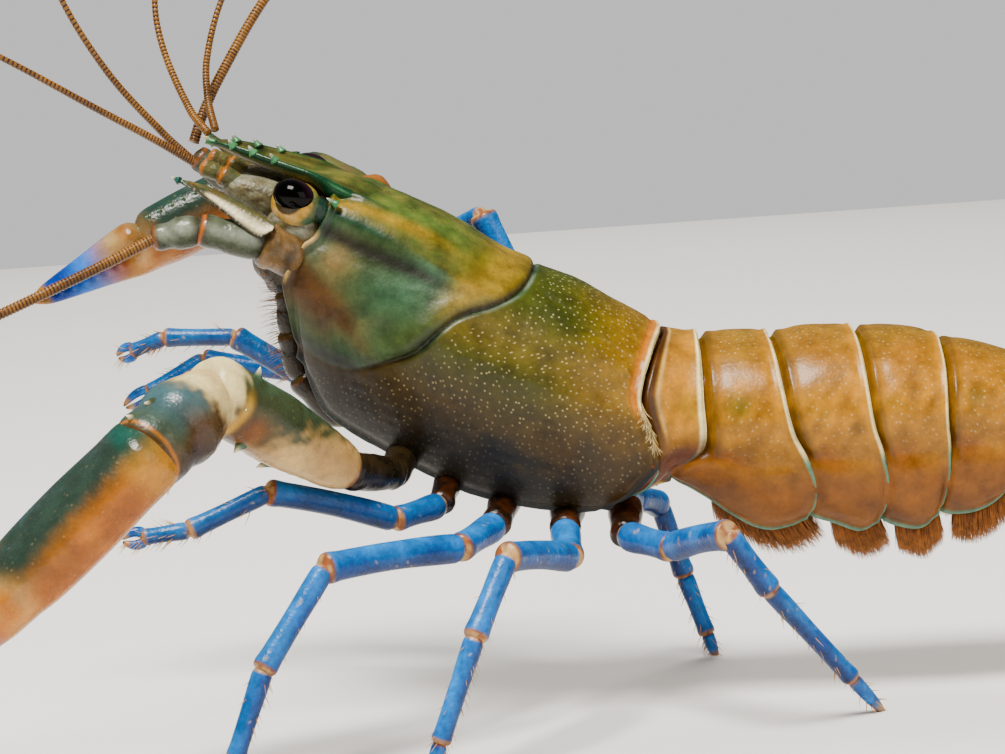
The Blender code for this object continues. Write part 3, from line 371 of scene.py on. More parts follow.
def shell_material(name, speck_size=0.78, speck_colour="speck", grain=0.5, roughness=0.36, bump=0.13,
                   coat=0.06, specular=0.26, subsurface=0.0):
    """Wet shell: its tint with mottles, fine grain, pale speckles where the mask asks, and small pits."""
    material, tree, shader, node = shader_of(name, Coat_Weight=coat, Coat_Roughness=0.12,
                                             Specular_IOR_Level=specular, Subsurface_Weight=subsurface,
                                             Subsurface_Scale=0.0015)
    tint = node("ShaderNodeAttribute", attribute_name="tint").outputs["Color"]
    masks = node("ShaderNodeAttribute", attribute_name="mask").outputs["Color"]
    split = node("ShaderNodeSeparateColor", {"Color": masks})
    skin = node("ShaderNodeUVMap", uv_map="skin").outputs["UV"]
    place = node("ShaderNodeTexCoord").outputs["Object"]
    coarse = node("ShaderNodeTexNoise", {"Vector": place, "Scale": 420.0, "Detail": 5.0, "Roughness": 0.65})
    fine = node("ShaderNodeTexNoise", {"Vector": place, "Scale": 2600.0, "Detail": 3.0, "Roughness": 0.6})
    low = node("ShaderNodeMapRange", {"Value": coarse.outputs["Fac"], "From Min": 0.3, "From Max": 0.7,
                                      "To Min": 1 - grain, "To Max": 1 + 0.7 * grain})
    high = node("ShaderNodeMapRange", {"Value": fine.outputs["Fac"], "From Min": 0.25, "From Max": 0.75,
                                       "To Min": 1 - 0.35 * grain, "To Max": 1 + 0.3 * grain})
    shade = node("ShaderNodeMath", {0: low.outputs["Result"], 1: high.outputs["Result"]},
                 operation="MULTIPLY")
    mottled = node("ShaderNodeVectorMath", {0: tint, "Scale": shade.outputs["Value"]}, operation="SCALE")
    dots = node("ShaderNodeTexVoronoi", {"Vector": skin, "Scale": 100.0 / speck_size, "Randomness": 0.8},
                voronoi_dimensions="2D")
    dot = node("ShaderNodeMapRange", {"Value": dots.outputs["Distance"], "From Min": 0.19, "From Max": 0.05,
                                      "To Min": 0.0, "To Max": 0.42}, interpolation_type="SMOOTHSTEP")
    share = node("ShaderNodeMath", {0: dot.outputs["Result"], 1: split.outputs["Red"]}, operation="MULTIPLY")
    bright = node("ShaderNodeMix", {"Factor": share.outputs["Value"], "A": mottled.outputs["Vector"],
                                    "B": (*C[speck_colour], 1)}, data_type="RGBA")
    tree.links.new(bright.outputs["Result"], shader.inputs["Base Color"])
    wet = node("ShaderNodeMapRange", {"Value": split.outputs["Green"], "From Min": 0.0, "From Max": 1.0,
                                      "To Min": roughness + 0.25, "To Max": max(roughness - 0.15, 0.06)})
    uneven = node("ShaderNodeMath", {0: coarse.outputs["Fac"], 1: 0.18, 2: wet.outputs["Result"]},
                  operation="MULTIPLY_ADD")
    less = node("ShaderNodeMath", {0: uneven.outputs["Value"], 1: 0.09}, operation="SUBTRACT",
                use_clamp=True)
    tree.links.new(less.outputs["Value"], shader.inputs["Roughness"])
    pits = node("ShaderNodeTexVoronoi", {"Vector": place, "Scale": 2900.0, "Randomness": 1.0})
    relief = node("ShaderNodeMath", {0: fine.outputs["Fac"], 1: 0.6, 2: pits.outputs["Distance"]},
                  operation="MULTIPLY_ADD")
    height = node("ShaderNodeMath", {0: share.outputs["Value"], 1: 0.5, 2: relief.outputs["Value"]},
                  operation="MULTIPLY_ADD")
    raised = node("ShaderNodeBump", {"Height": height.outputs["Value"], "Strength": bump,
                                     "Distance": 0.00012})
    tree.links.new(raised.outputs["Normal"], shader.inputs["Normal"])
    return material


def bristle_material(name):
    """Matte bristles in their own tint."""
    material, tree, shader, node = shader_of(name, Roughness=0.55, Specular_IOR_Level=0.35)
    tint = node("ShaderNodeAttribute", attribute_name="tint").outputs["Color"]
    place = node("ShaderNodeTexCoord").outputs["Object"]
    noise = node("ShaderNodeTexNoise", {"Vector": place, "Scale": 1500.0, "Detail": 3.0})
    shade = node("ShaderNodeMapRange", {"Value": noise.outputs["Fac"], "From Min": 0.3, "From Max": 0.7,
                                        "To Min": 0.6, "To Max": 1.4})
    varied = node("ShaderNodeVectorMath", {0: tint, "Scale": shade.outputs["Result"]}, operation="SCALE")
    tree.links.new(varied.outputs["Vector"], shader.inputs["Base Color"])
    return material


SHELL = shell_material("shell")
PLATE = shell_material("abdomen_shell", speck_size=0.9, grain=0.42, roughness=0.34)
LIMB = shell_material("limb_shell", speck_size=0.6, speck_colour="sky", grain=0.4, roughness=0.32, bump=0.3)
CLAW = shell_material("claw_shell", speck_size=0.9, speck_colour="cream", grain=0.3, roughness=0.32,
                      bump=0.25)
SOFT = shell_material("membrane", grain=0.35, roughness=0.4, bump=0.5, subsurface=0.15)
EYE = shell_material("cornea", grain=0.1, roughness=0.2, bump=0.03, coat=0.06, specular=0.06)
HAIR = bristle_material("bristles")


# Carapace

def groove_distance(s, h):
    """Distance from the cervical groove seen from the side, negative in front of it."""
    table = [(i, p) for i, p in enumerate(CERVICAL_GROOVE)]
    line = along(table, np.linspace(0, len(CERVICAL_GROOVE) - 1, 90))
    place = np.stack([s, h], -1)
    best = np.full(s.shape, 99.0)
    side = np.zeros(s.shape)
    for a, b in zip(line, line[1:]):
        run = b - a
        t = np.clip(((place - a) @ run) / (run @ run), 0, 1)
        away = place - a - t[..., None] * run
        distance = np.linalg.norm(away, axis=-1)
        cross = run[0] * away[..., 1] - run[1] * away[..., 0]
        nearer = distance < best
        best = np.where(nearer, distance, best)
        side = np.where(nearer, np.sign(cross), side)
    return best * np.where(side == 0, 1, side)


def carapace_relief(s, side, h, theta, front, rear):
    """Height of the carapace's ridges, grooves and rims over its plain form, and its place masks."""
    l = np.abs(side)
    groove = groove_distance(s, h)
    deep = smooth(h, -15, -9) * (0.55 + 0.45 * smooth(h, 1.5, -1.5))
    relief = -0.45 * deep * bell(groove, 0.05, 0.35)
    relief += 0.42 * deep * bell(np.minimum(groove, 0), -0.9, 1.3) * (groove < 0)
    relief += 0.06 * deep * bell(groove, 0.5, 0.25)
    carina = l - along(ROSTRUM_WIDTH, s)
    fade = 1 - smooth(s, 15, 22)
    relief += 0.42 * fade * bell(carina, 0, 0.42) - 0.3 * fade * bell(l, 0, 2.2)
    lateral = smooth(theta, 0.12, 0.2)
    to_front, to_rear, to_low = s - front, rear - s, (1 - theta) * 20
    relief += 0.3 * lateral * bell(to_front, 0.3, 0.35) - 0.18 * lateral * bell(to_front, 1.1, 0.5)
    relief += 0.14 * bell(to_rear, 0.35, 0.3) - 0.14 * bell(to_rear, 1.1, 0.35)
    relief += 0.15 * bell(to_low, 0.3, 0.35) - 0.14 * bell(to_low, 1.2, 0.5)
    gill_line = along([(35, 4.6), (39, 5.8), (40.8, 6.6), (43.4, 7.2), (49, 7.6)], s)
    relief -= 0.14 * smooth(s, 35.5, 37) * bell(l, gill_line, 0.5) * (theta < 0.45)
    return relief, groove, carina, fade


def eye_ridge(s, side, h, theta):
    """Rise of the sharp ridge behind each eye, and the distances outwards and down from its crest."""
    l = np.abs(side)
    line = along([(12, 5.6), (14.2, 6.0), (17.3, 6.6), (20.4, 7.1), (26, 7.7)], s)
    away = l - line
    high = along([(12.4, 0.0), (13.4, 0.7), (14.6, 0.85), (20, 0.8), (24, 0.4), (28.5, 0.0)], s)
    rise = np.where(away < 0, bell(away, 0, 2.4), bell(away, 0, 0.42)) * (theta < 0.5)
    dip = 0.35 * smooth(s, 13, 15) * (1 - smooth(s, 22, 27)) * bell(away, 1.3, 0.7) * (theta < 0.5)
    return high * rise - dip, away, roof_height(s, line) - h


def back_tint(points, s, l):
    """Colour of the head's back, shared by the beak and the carapace."""
    small, broad = waves(points, 2.2, 31), waves(points, 6, 32)
    tint = mix(C["dorsal_green"], C["rostrum"], 0.45 + 0.25 * small + 0.2 * broad)
    tint = coats(tint, (
        # A paler patch on the back, partly its own colour and partly a painted sheen.
        ("dorsal_light", 0.55 * smooth(s, 14, 21) * bell(l, 3.2, 2.0) * (1 - smooth(s, 26, 34))),
        ("yellow", 0.55 * bell(l, 5.3, 0.8) * smooth(s, 13, 15) * (1 - smooth(s, 22, 30))),
    ))
    return mix(tint, C["yellow"], 0.35 * smooth(s, 27, 33))


def carapace_colours(points, s, side, h, theta, front, rear, groove, carina, away, drop, fade):
    """Tint and mask of the carapace."""
    l = np.abs(side)
    blotch, small, fine = waves(points, 9, 3), waves(points, 2.6, 5), waves(points, 0.9, 6)
    tint = mix(C["thorax_green"], C["thorax_gold"], smooth(s + 1.5 * blotch, 38, 50))
    # Darker towards the bottom: partly the thorax's own browns and partly painted shade.
    tint = coats(tint, (
        ("thorax_gold", 0.35 * smooth(h, -1, -4) * (1 - smooth(h, -5, -8))),
        ("thorax_mid", 0.9 * smooth(h + 0.5 * blotch, -4.0, -13.0)),
        ("thorax_low", 0.85 * smooth(h + 1.0 * blotch, -11.5, -18.0) * (1 - 0.4 * smooth(s, 44, 51))),
    ))
    head = 1 - smooth(groove, -0.3, 0.2)
    cheek = head * smooth(away, -0.2, 0.4)
    tint = coats(tint, (
        (mix(C["teal_grey"], C["cheek_olive"], 0.5 + 0.5 * blotch), cheek),
        ("teal", 0.35 * cheek * bell(s + 0.5 * small, 22.0, 4.2) * bell(h, -5.0, 2.6)),
        ("peach", 0.55 * cheek * bell(s, 16.4, 1.9) * bell(h + 0.3 * small, -3.9, 1.8)),
        ("peach", 0.3 * cheek * bell(s, 19.0, 2.6) * bell(h, -8.2, 1.6) * smooth(small, -0.4, 0.8)),
    ))
    slant = h + 0.5 * (s - 14)
    low_front = h + 0.28 * (s - 14)
    tint = coats(tint, (
        ("rust_brown", 0.95 * cheek * bell(low_front, -8.0, 2.6) * (1 - smooth(s + small, 16.5, 21))),
        ("rust_brown", 0.75 * cheek * bell(slant, -6.4, 1.5) * (1 - smooth(s + small, 19, 26))),
        # Darker towards the cheek's bottom, partly its own colour and partly painted shade.
        ("cheek_dark", 0.85 * cheek * smooth(slant + 0.3 * small, -7.2, -9.8) * smooth(s, 17.5, 20.5)),
        ("deep_brown", 0.8 * cheek * smooth(h + 0.15 * (s - 16) + 0.3 * small, -11.2, -13.4)),
    ))
    gold = bell(groove, -2.2, 2.6) * smooth(h, -7.0, -4.0) * smooth(s, 26, 30)
    tint = mix(tint, C["yellow"], 0.7 * head * gold)
    dorsum = head * (1 - smooth(away, -0.5, 0.1))
    tint = mix(tint, back_tint(points, s, l), dorsum * (1 - 0.5 * gold))
    window = smooth(s, 13.2, 14.6) * (1 - smooth(s, 24, 30))
    # Painted shadow: a dark brown band under the sharp ridge behind the eye.
    tint = mix(tint, C["deep_brown"], 0.9 * cheek * window * bell(drop, 1.0, 0.6))
    crest = window * (1 - smooth(s, 19, 23)) * bell(away, 0.0, 0.22)
    tint = coats(tint, (
        ("carina", 0.9 * crest * head),
        ("carina", 0.85 * fade * bell(carina, 0.05, 0.4)),
        # Painted shadow in the lower part of the cervical groove.
        ("deep_brown", 0.8 * bell(groove, -0.02, 0.2) * smooth(h, -14, -10)),
    ))
    lip = bell(groove, 0.34, 0.15) * smooth(h, -10.5, -7.5)
    tint = coats(tint, (
        ("teal", 0.6 * lip),
        ("pearl", 0.35 * lip * smooth(small, -0.5, 0.6) * smooth(h, -9, -4)),
    ))
    # Irregular black patches low on the thorax's side behind the groove, where it darkens towards the bottom.
    low_side = (groove > 0.5) * smooth(h, -12.5, -15) * bell(s, 39.5, 6)
    low_patch_field = 0.6 * waves(points, 3.2, 21) + 0.5 * waves(points, 1.3, 22) + 0.35 * fine + low_side
    low_black_patches = smooth(low_patch_field, 0.3, 0.9)
    tint = mix(tint, C["black"], 0.85 * low_side * low_black_patches)
    to_front, to_rear, to_low = s - front, rear - s, (1 - theta) * 20
    lateral = smooth(theta, 0.3, 0.34)
    tint = coats(tint, (
        ("cream", 0.95 * lateral * (1 - smooth(to_front, 0.4, 0.7)) * (1 - smooth(theta, 0.47, 0.52))),
        ("orange", 0.85 * (1 - smooth(to_rear, 1.0, 2.0)) * (1 - smooth(theta, 0.36, 0.44))),
    ))
    rim = (1 - smooth(to_rear, 0.45, 0.6)) * (1 - smooth(theta, 0.4, 0.47))
    tint = mix(tint, C["rim_cream"], rim)
    edge = 1 - smooth(np.minimum(to_low, np.where(theta > 0.5, to_rear, 9)), 0.5, 1.2)
    tint = mix(tint, C["slate"], 0.9 * edge * smooth(theta, 0.5, 0.62))
    specks = smooth(groove, 0.8, 2.0) * (0.25 + 0.75 * smooth(h, -17, -6)) * smooth(to_rear, 1.2, 2.2)
    specks = specks * (1 - 0.6 * low_side) * (0.7 + 0.5 * small)
    gloss = 0.55 + 0.25 * rim + 0.2 * lip - 0.2 * low_side
    return tint, masks_of(specks, gloss)


def carapace_grid():
    """Outer surface of the whole carapace."""
    rows, cols = ((211, 341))
    u, t = np.meshgrid(np.linspace(0, 1, rows), np.linspace(-1, 1, cols), indexing="ij")
    theta, sign = np.abs(t), np.where(t < 0, -1.0, 1.0)
    front, rear = along(SHELL_FRONT, theta), along(SHELL_REAR, theta)
    s = front * (1 - u) + rear * u
    side, h = shell_section(s, theta)
    side = side * sign
    base = on_body(s, side, h)
    normal = normals_of(base)
    normal *= np.sign(np.sum(normal[rows // 2, cols // 2] * UP))
    relief, groove, carina, fade = carapace_relief(s, side, h, theta, front, rear)
    rise, away, drop = eye_ridge(s, side, h, theta)
    relief -= 0.8 * (1 - smooth(s - front, 0.5, 3.5)) * (1 - smooth(theta, 0.17, 0.24))
    edge = np.minimum(np.minimum(s - front, rear - s), (1 - theta) * 20 + 0.02)
    relief = relief - 0.45 * (1 - smooth(edge, 0, 0.3))
    relief = relief + 0.05 * waves(base, 5, 8) + 0.02 * waves(base, 1.6, 9)
    points = base + normal * relief[..., None] + UP * rise[..., None]
    tint, mask = carapace_colours(base, s, side, h, theta, front, rear, groove, carina, away, drop, fade)
    return points, tint, mask, normal


def thicken(surface, points, tint, mask, normal, depth, inner_tint):
    """A sheet with a coarser inner side parallel to it, closed round its edges."""
    inner = points - normal * depth
    surface.grid(points, tint, mask)
    surface.grid(inner[::2, ::-2], inner_tint, (0, 0.4, 0))
    for outer_edge, inner_edge in ((points[0], inner[0]), (inner[-1], points[-1]),
                                   (inner[:, 0], points[:, 0]), (points[:, -1], inner[:, -1])):
        surface.grid(np.stack([outer_edge, inner_edge]), inner_tint, (0, 0.4, 0))


def cone(surface, base, tip, radius, tint, tip_tint, sunk=0.3, blunt=0.8):
    """A pointed spine with a swollen foot."""
    base, tip = np.asarray(base, float), np.asarray(tip, float)
    axis = tip - base
    t = np.linspace(-sunk, 1, 9)
    width = radius * (1 - np.clip(t, 0, 1)) ** blunt * (1 + 0.5 * (1 - smooth(t, -sunk, 0.35)))
    width[-1] = 0.01
    centres = base + axis * t[:, None]
    helper = np.array((0.0, 0.0, 1.0)) if abs(unit(axis)[2]) < 0.9 else np.array((1.0, 0.0, 0.0))
    across = unit(np.cross(axis, helper))
    thick = unit(np.cross(axis, across))
    a = np.linspace(0, 2 * math.pi, 10, endpoint=False)
    ring = np.cos(a)[:, None] * across + np.sin(a)[:, None] * thick
    points = centres[:, None] + width[:, None, None] * ring
    colours = mix(tint, tip_tint, smooth(t, 0.2, 0.9)[:, None] * np.ones(len(a)))
    surface.closed(points, colours, (0, 0.8, 0))


def ball(p, a):
    """Points of a ball of radius 1 at angles p from its first axis and a round it."""
    return np.stack([np.cos(p), np.sin(p) * np.cos(a), np.sin(p) * np.sin(a)], -1)


def bead(surface, centre, radii, tint, sides, rows, gloss):
    """An ellipsoid with its radii along, across and up from the front body."""
    p, a = net(0.02, math.pi - 0.02, rows, sides)
    points = centre + (ball(p, a) * radii) @ np.stack([BACK, LEFT, UP])
    surface.closed(points, tint(points) if callable(tint) else tint, (0, gloss, 0))


# Half section of the beak from its mid-line over the keel to the middle of its underside
BEAK_SECTION = [(0, (0, -0.45)), (0.2, (0.55, -0.36)), (0.34, (0.84, 0.02)), (0.43, (0.97, 0.22)),
                (0.5, (1.06, 0.12)), (0.6, (1.08, -0.12)), (0.7, (1.0, -0.42)), (0.8, (0.8, -0.7)),
                (1, (0, -0.85))]


def rostrum_grid():
    """The beak between the eyes with its raised keels, flowing into the head's back."""
    rows, half = 110, 33
    q = np.linspace(0, 1, half)
    q = np.concatenate([q, q[-2:0:-1]])
    sign = np.concatenate([np.ones(half), -np.ones(half - 2)])
    s, q = np.meshgrid(np.linspace(0, 20.0, rows), q, indexing="ij")
    outline = along(BEAK_SECTION, q)
    w = along(ROSTRUM_WIDTH, s)
    size = 0.35 + 0.65 * smooth(s, 0, 5)
    l = outline[..., 0] * w
    h = along(ROSTRUM_HEIGHT, s) + outline[..., 1] * size - 0.3 * w * smooth(q, 0.65, 1.0)
    keel = np.clip(outline[..., 1] + 0.3, 0, 1) * (1 - smooth(s, 14, 19))
    on_roof = roof_height(s, l) + 0.1 + 0.55 * keel
    on_roof = on_roof - 0.5 * smooth(s, 16.5, 19.5) - 1.5 * smooth(q, 0.52, 0.75)
    h = h + (on_roof - h) * smooth(s, 10.5, 14.5)
    points = on_body(s, l * sign, h)
    wall = smooth(q, 0.36, 0.42) * (1 - smooth(q, 0.68, 0.74))
    fade = 1 - smooth(s, 15.0, 19.0)
    small = waves(points, 2.2, 31)
    tint = back_tint(points, s, l)
    tint = coats(tint, (
        ("dark_olive", 0.5 * bell(q, 0.3, 0.06) * fade),
        ("carina", 0.95 * wall * fade),
        # A broken pale line on the keel's wall, a painted highlight.
        ("carina_pale", 0.6 * bell(q, 0.5, 0.03) * smooth(small, 0.0, 0.9) * fade),
        ("flesh", 0.8 * smooth(q, 0.72, 0.8)),
        ("carina_pale", 0.6 * (1 - smooth(s, 0.2, 1.2))),
    ))
    return points, tint, masks_of(0.0, 0.55 + 0.3 * wall)


def make_carapace():
    """Carapace, rostrum and spines."""
    surface = Surface()
    points, tint, mask, normal = carapace_grid()
    thicken(surface, points, tint, mask, normal, 0.45, C["membrane"] * 0.5)
    rostrum, rostrum_tint, rostrum_mask = rostrum_grid()
    surface.closed(rostrum, rostrum_tint, rostrum_mask)
    for sign in (1, -1):
        for s in ROSTRAL_SPINES:
            w, h = float(along(ROSTRUM_WIDTH, s)), float(along(ROSTRUM_HEIGHT, s))
            foot, tip = on_body(s + 0.3, sign * w, h + 0.15), on_body(s - 0.3, sign * (w + 0.12), h + 0.62)
            cone(surface, foot, tip, 0.34, C["carina_pale"], C["pearl"], blunt=0.55)
        foot, tip = on_body(14.4, sign * 6.0, 0.6), on_body(13.4, sign * 6.0, 0.8)
        cone(surface, foot, tip, 0.3, C["carina_pale"], C["pearl"], blunt=0.55)
    cone(surface, on_body(0.6, 0, 0.2), on_body(-0.5, 0, 0.45), 0.34, C["carina_pale"], C["cream"])
    surface.make("carapace", SHELL, "carapace", ("head", "thorax"))


# Abdomen

def margin(index, theta):
    """Rear margin of abdomen segment number index, 1 to 6, along the animal."""
    if index == 1:
        return SEGMENT_ENDS[0] + along(FIRST_PLATE, theta)
    return SEGMENT_ENDS[index - 1] + PLATE_SHARES[index - 1] * along(SIDE_PLATE, theta)


def plate_place(index, u, theta):
    """Place on the outside of an abdomen segment, u from its front to its rear margin."""
    rear = margin(index, theta)
    front = margin(index - 1, theta) if index > 1 else np.full_like(theta, 0.1)
    s = front * (1 - u) + rear * u
    depth = along(PLATE_DEPTH, u) if index > 1 else 1.0 - 0.07 * u
    top = along(TAIL_TOP, u) + along(TAIL_BACK, s)
    side, h = arch(theta, along(TAIL_WIDTH, s), top, along(TAIL_MID, s), along(TAIL_LOW, s) * depth,
                   along(TAIL_EDGE, s))
    return s, side, h, front, rear


def segment_grid(index):
    """Outer surface of one abdomen segment, with its front strip tucked under the one before."""
    rows, cols = ((77, 221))
    start = -0.12 if index > 1 else 0
    u, t = np.meshgrid(np.linspace(start, 1, rows), np.linspace(-1, 1, cols), indexing="ij")
    theta, sign = np.abs(t), np.where(t < 0, -1.0, 1.0)
    inside = np.clip(u, 0, 1)
    s, side, h, front, rear = plate_place(index, inside, theta)
    s = s + np.minimum(u, 0) * (rear - front)
    points = on_tail(s, side * sign, h)
    if index == 1:
        shell_s = along(SHELL_REAR, theta) + 0.15
        shell_side, shell_h = shell_section(shell_s, theta)
        edge = on_body(shell_s, shell_side * sign * 0.965, shell_h * 0.965 - 0.25)
        weight = (1 - smooth(u, 0, 1.0))[..., None]
        points = points * (1 - weight) + edge * weight
    normal = normals_of(points)
    normal *= np.sign(np.sum(normal[rows // 2, cols // 2] * np.array((0, 0, 1.0))))
    to_rear = (rear - s) if index > 1 else (1 - u) * 3.4
    to_front = s - front if index > 1 else u * 3.4
    to_low = (1 - theta) * 18
    dorsal = 1 - smooth(theta, 0.56, 0.66)
    tuck = -0.75 * (1 - smooth(to_front, 0.0, 0.9)) * dorsal
    tuck = tuck - 0.35 * (1 - smooth(to_front, -0.4, 0.6)) * (1 - dorsal)
    relief = tuck + 0.06 * bell(to_rear, 0.3, 0.25) - 0.08 * bell(to_rear, 0.9, 0.4)
    relief -= 0.06 * bell(to_front, 1.7, 0.5) * dorsal
    relief += 0.5 * bell(theta, 0.8, 0.14) * smooth(to_low, 0.2, 2.4) * smooth(to_rear, 0.2, 2.0)
    relief -= 0.32 * bell(theta, 0.6, 0.05) * smooth(to_rear, 0.5, 2)
    relief += 0.1 * bell(to_low, 0.35, 0.3) - 0.1 * bell(to_low, 1.1, 0.4)
    edge = np.minimum(to_rear, to_low + 0.02)
    relief = relief - 0.4 * (1 - smooth(edge, 0, 0.25))
    points = points + normal * (relief + 0.05 * waves(points, 4, 40 + index))[..., None]
    return points, normal, theta, to_front, to_rear, to_low


def segment_colours(index, points, theta, to_front, to_rear, to_low):
    """Tint and mask of an abdomen segment."""
    blotch, small = waves(points, 6, 50), waves(points, 1.8, 51)
    tint = mix(C["thorax_gold"], C["gold_deep"], smooth(theta + 0.06 * blotch, -0.02, 0.24))
    tint = coats(tint, (
        ("gold", 0.6 * bell(theta, 0.4, 0.16) * (0.7 + 0.5 * small)),
        ("green", 0.5 * bell(theta, 0.38, 0.05) * bell(to_front, 3.0, 1.2) * smooth(blotch, -0.4, 0.5)),
        ("rust_red", 0.45 * bell(theta + 0.02 * blotch, 0.62, 0.055) * (1 - smooth(to_front, 1.5, 6))),
        ("plate_rust", 0.85 * smooth(theta, 0.58, 0.74)),
        ("brown", 0.3 * smooth(blotch, 0, 1) * smooth(theta, 0.6, 0.8)),
        # Painted shade: a darker band at the front of the segment, under the rim of the one before.
        ("dark_olive", 0.4 * (1 - smooth(to_front, 0.9, 1.5)) * (1 - smooth(theta, 0.6, 0.7))),
        ("gold", 0.5 * (1 - smooth(to_rear, 0.5, 2.0)) * (1 - smooth(theta, 0.55, 0.62))),
    ))
    rim = (1 - smooth(to_rear, 0.3, 0.46)) * (1 - smooth(theta, 0.6, 0.66))
    tint = coats(tint, (
        ("rim_cream", rim),
        ("rim_blue", 0.8 * (1 - smooth(to_rear, 0.3, 0.6)) * smooth(theta, 0.58, 0.64)),
        ("rim_blue", 0.75 * bell(to_low, 0.45, 0.3)),
    ))
    if index == 1:
        strip = (1 - smooth(to_front, 1.1, 1.5)) * (1 - smooth(theta, 0.42, 0.5))
        tint = coats(tint, (
            ("brown", 0.85 * strip),
            ("cream", 0.6 * bell(to_front, 1.45, 0.12) * (1 - smooth(theta, 0.42, 0.5))),
            ("lobe", 0.75 * smooth(theta, 0.46, 0.58)),
            ("rim_blue", 0.9 * (1 - smooth(to_front, 0.25, 0.5)) * smooth(theta, 0.5, 0.56)),
            ("eye_yellow", 0.8 * bell(to_low, 0.6, 0.3) * smooth(to_rear, 0.4, 0.8)),
        ))
    specks = 0.55 * (1 - smooth(theta, 0.5, 0.66)) * smooth(to_rear, 1, 1.8) * smooth(to_front, 1.4, 2)
    specks = specks * (0.8 + 0.5 * small)
    gloss = 0.6 + 0.3 * rim - 0.15 * smooth(theta, 0.6, 0.8)
    return tint, masks_of(specks, gloss)


def make_core():
    """The soft body inside the abdomen's shell, from within the carapace to the tail fan."""
    surface = Surface()
    s, a = net(-5.5, 45.5, 150, 96)
    inside = np.clip(s, 0, None)
    width, mid = along(TAIL_WIDTH, inside) * 0.9, along(TAIL_MID, inside)
    floor = mid + (along(TAIL_LOW, inside) - mid) * (0.5 + 0.32 * (1 - smooth(s, 0, 7)))
    roof = along(TAIL_BACK, inside) - 0.85
    up = np.sin(a) > 0
    side = np.cos(a) * width * np.where(up, 1, 1 - 0.25 * np.sin(a) ** 2)
    h = mid + np.sin(a) * np.where(up, roof - mid, mid - floor)
    points = on_tail(s, side, h)
    folds = 0.22 * np.sin(s * 3.1) * (1 - smooth(s, 2, 5)) + 0.25 * np.sin(s * 1.5) * smooth(s, 4, 8)
    outward = unit(points - on_tail(s, 0 * s, mid))
    points = points + outward * (folds + 0.15 * waves(points, 2.5, 44))[..., None]
    tint = mix(C["membrane"], C["peach"], 0.25 + 0.35 * waves(points, 3, 45))
    tint = mix(tint, C["plate_brown"], 0.6 * smooth(waves(points, 1.5, 46), 0.1, 0.9))
    surface.closed(points, tint, (0, 0.4, 0))
    surface.make("abdomen_core", SOFT, "membrane")


def make_segment(index):
    """One shell ring of the abdomen."""
    surface = Surface()
    points, normal, *places = segment_grid(index)
    tint, mask = segment_colours(index, points, *places)
    thicken(surface, points, tint, mask, normal, 0.4, C["membrane"] * 0.6)
    surface.make(f"segment_{index}", PLATE, "abdomen", (f"abdomen_{index}",))


# Limbs

# Distance between the rings of points along a limb, and the mask of a plain limb
LIMB_STEP = 0.22
PLAIN_MASK = (0, 0.6, 0)


def line_through(points, step):
    """Points a small step apart on the smooth line through given ones, with their distances along it."""
    points = np.array(points, float)
    lengths = np.concatenate([[0], np.cumsum(np.linalg.norm(np.diff(points, axis=0), axis=1))])
    at = np.linspace(0, lengths[-1], max(int(lengths[-1] / step), 4) + 1)
    return along(list(zip(lengths, points)), at), at


def frames_along(line, flat):
    """Directions across a line, the first as near as can be to flat, turned as little as can be."""
    tangent = unit(np.gradient(line, axis=0))
    across = np.empty_like(line)
    last = np.asarray(flat, float)
    for i, direction in enumerate(tangent):
        last = unit(last - direction * (last @ direction))
        across[i] = last
    return tangent, across, np.cross(tangent, across)


def tube(surface, line, width, depth, paint, flat=(0, 0, 1), sides=30, relief=None):
    """A closed round form along a line. Paint gives its tint and mask from points and angles."""
    _, across, thick = frames_along(line, flat)
    a = np.linspace(0, 2 * math.pi, sides, endpoint=False)
    ring = (across[:, None] * np.cos(a)[None, :, None] * width[:, None, None]
            + thick[:, None] * np.sin(a)[None, :, None] * depth[:, None, None])
    points = line[:, None] + ring
    if relief is not None:
        points = points + unit(ring) * relief(points)[..., None]
    surface.closed(points, *paint(points, np.broadcast_to(a, points.shape[:2])))


def article(surface, a, b, start, end, paint, flat=(0, 0, 1), ratio=1.0, sides=30, waist=0.96, bow=0.0,
            relief=None, neck=0.8, lip=1.06):
    """One article of a limb from joint a to joint b, waisted at its root and lipped at its end.

    paint gives tint and mask from the points, the distance from the root, the length and the angle.
    """
    a, b = np.asarray(a, float), np.asarray(b, float)
    length = np.linalg.norm(b - a)
    axis = (b - a) / length
    stations = [
        (-0.35 * start, 0.56 * neck * start),
        (0.05 * start, neck * start),
        (min(0.6 * start, 0.25 * length), start),
        (0.5 * length, waist * (start + end) / 2),
        (max(length - 1.3 * end, 0.68 * length), 0.99 * end),
        (max(length - 0.35 * end, 0.86 * length), lip * end),
        (length, (lip - 0.1) * end),
        (length + 0.2 * end, 0.68 * end),
        (length + 0.28 * end, 0.3 * end),
    ]
    x = np.linspace(stations[0][0], stations[-1][0], max(int(length / LIMB_STEP), 12))
    radius = along(stations, x)
    _, side, _ = frames_along(np.stack([a, b]), flat)
    arc = bow * np.sin(np.clip(x / length, 0, 1) * math.pi)
    line = a + axis * x[:, None] + side[0] * arc[:, None]

    def colour(points, turns):
        return paint(points, np.broadcast_to(x[:, None], turns.shape), length, turns)

    tube(surface, line, radius * ratio, radius, colour, flat, sides, relief)


def at_ends(x, length, reach):
    """1 at both ends of an article, falling to 0 over reach."""
    return np.maximum(1 - smooth(x, 0.2 * reach, reach), smooth(x, length - reach, length - 0.35 * reach))


def masks_of(specks, gloss):
    """Mask colours from speckles and gloss."""
    specks, gloss = np.broadcast_arrays(specks, gloss)
    return np.stack([np.clip(specks, 0, 1), np.clip(gloss, 0, 1), np.zeros_like(gloss)], -1)


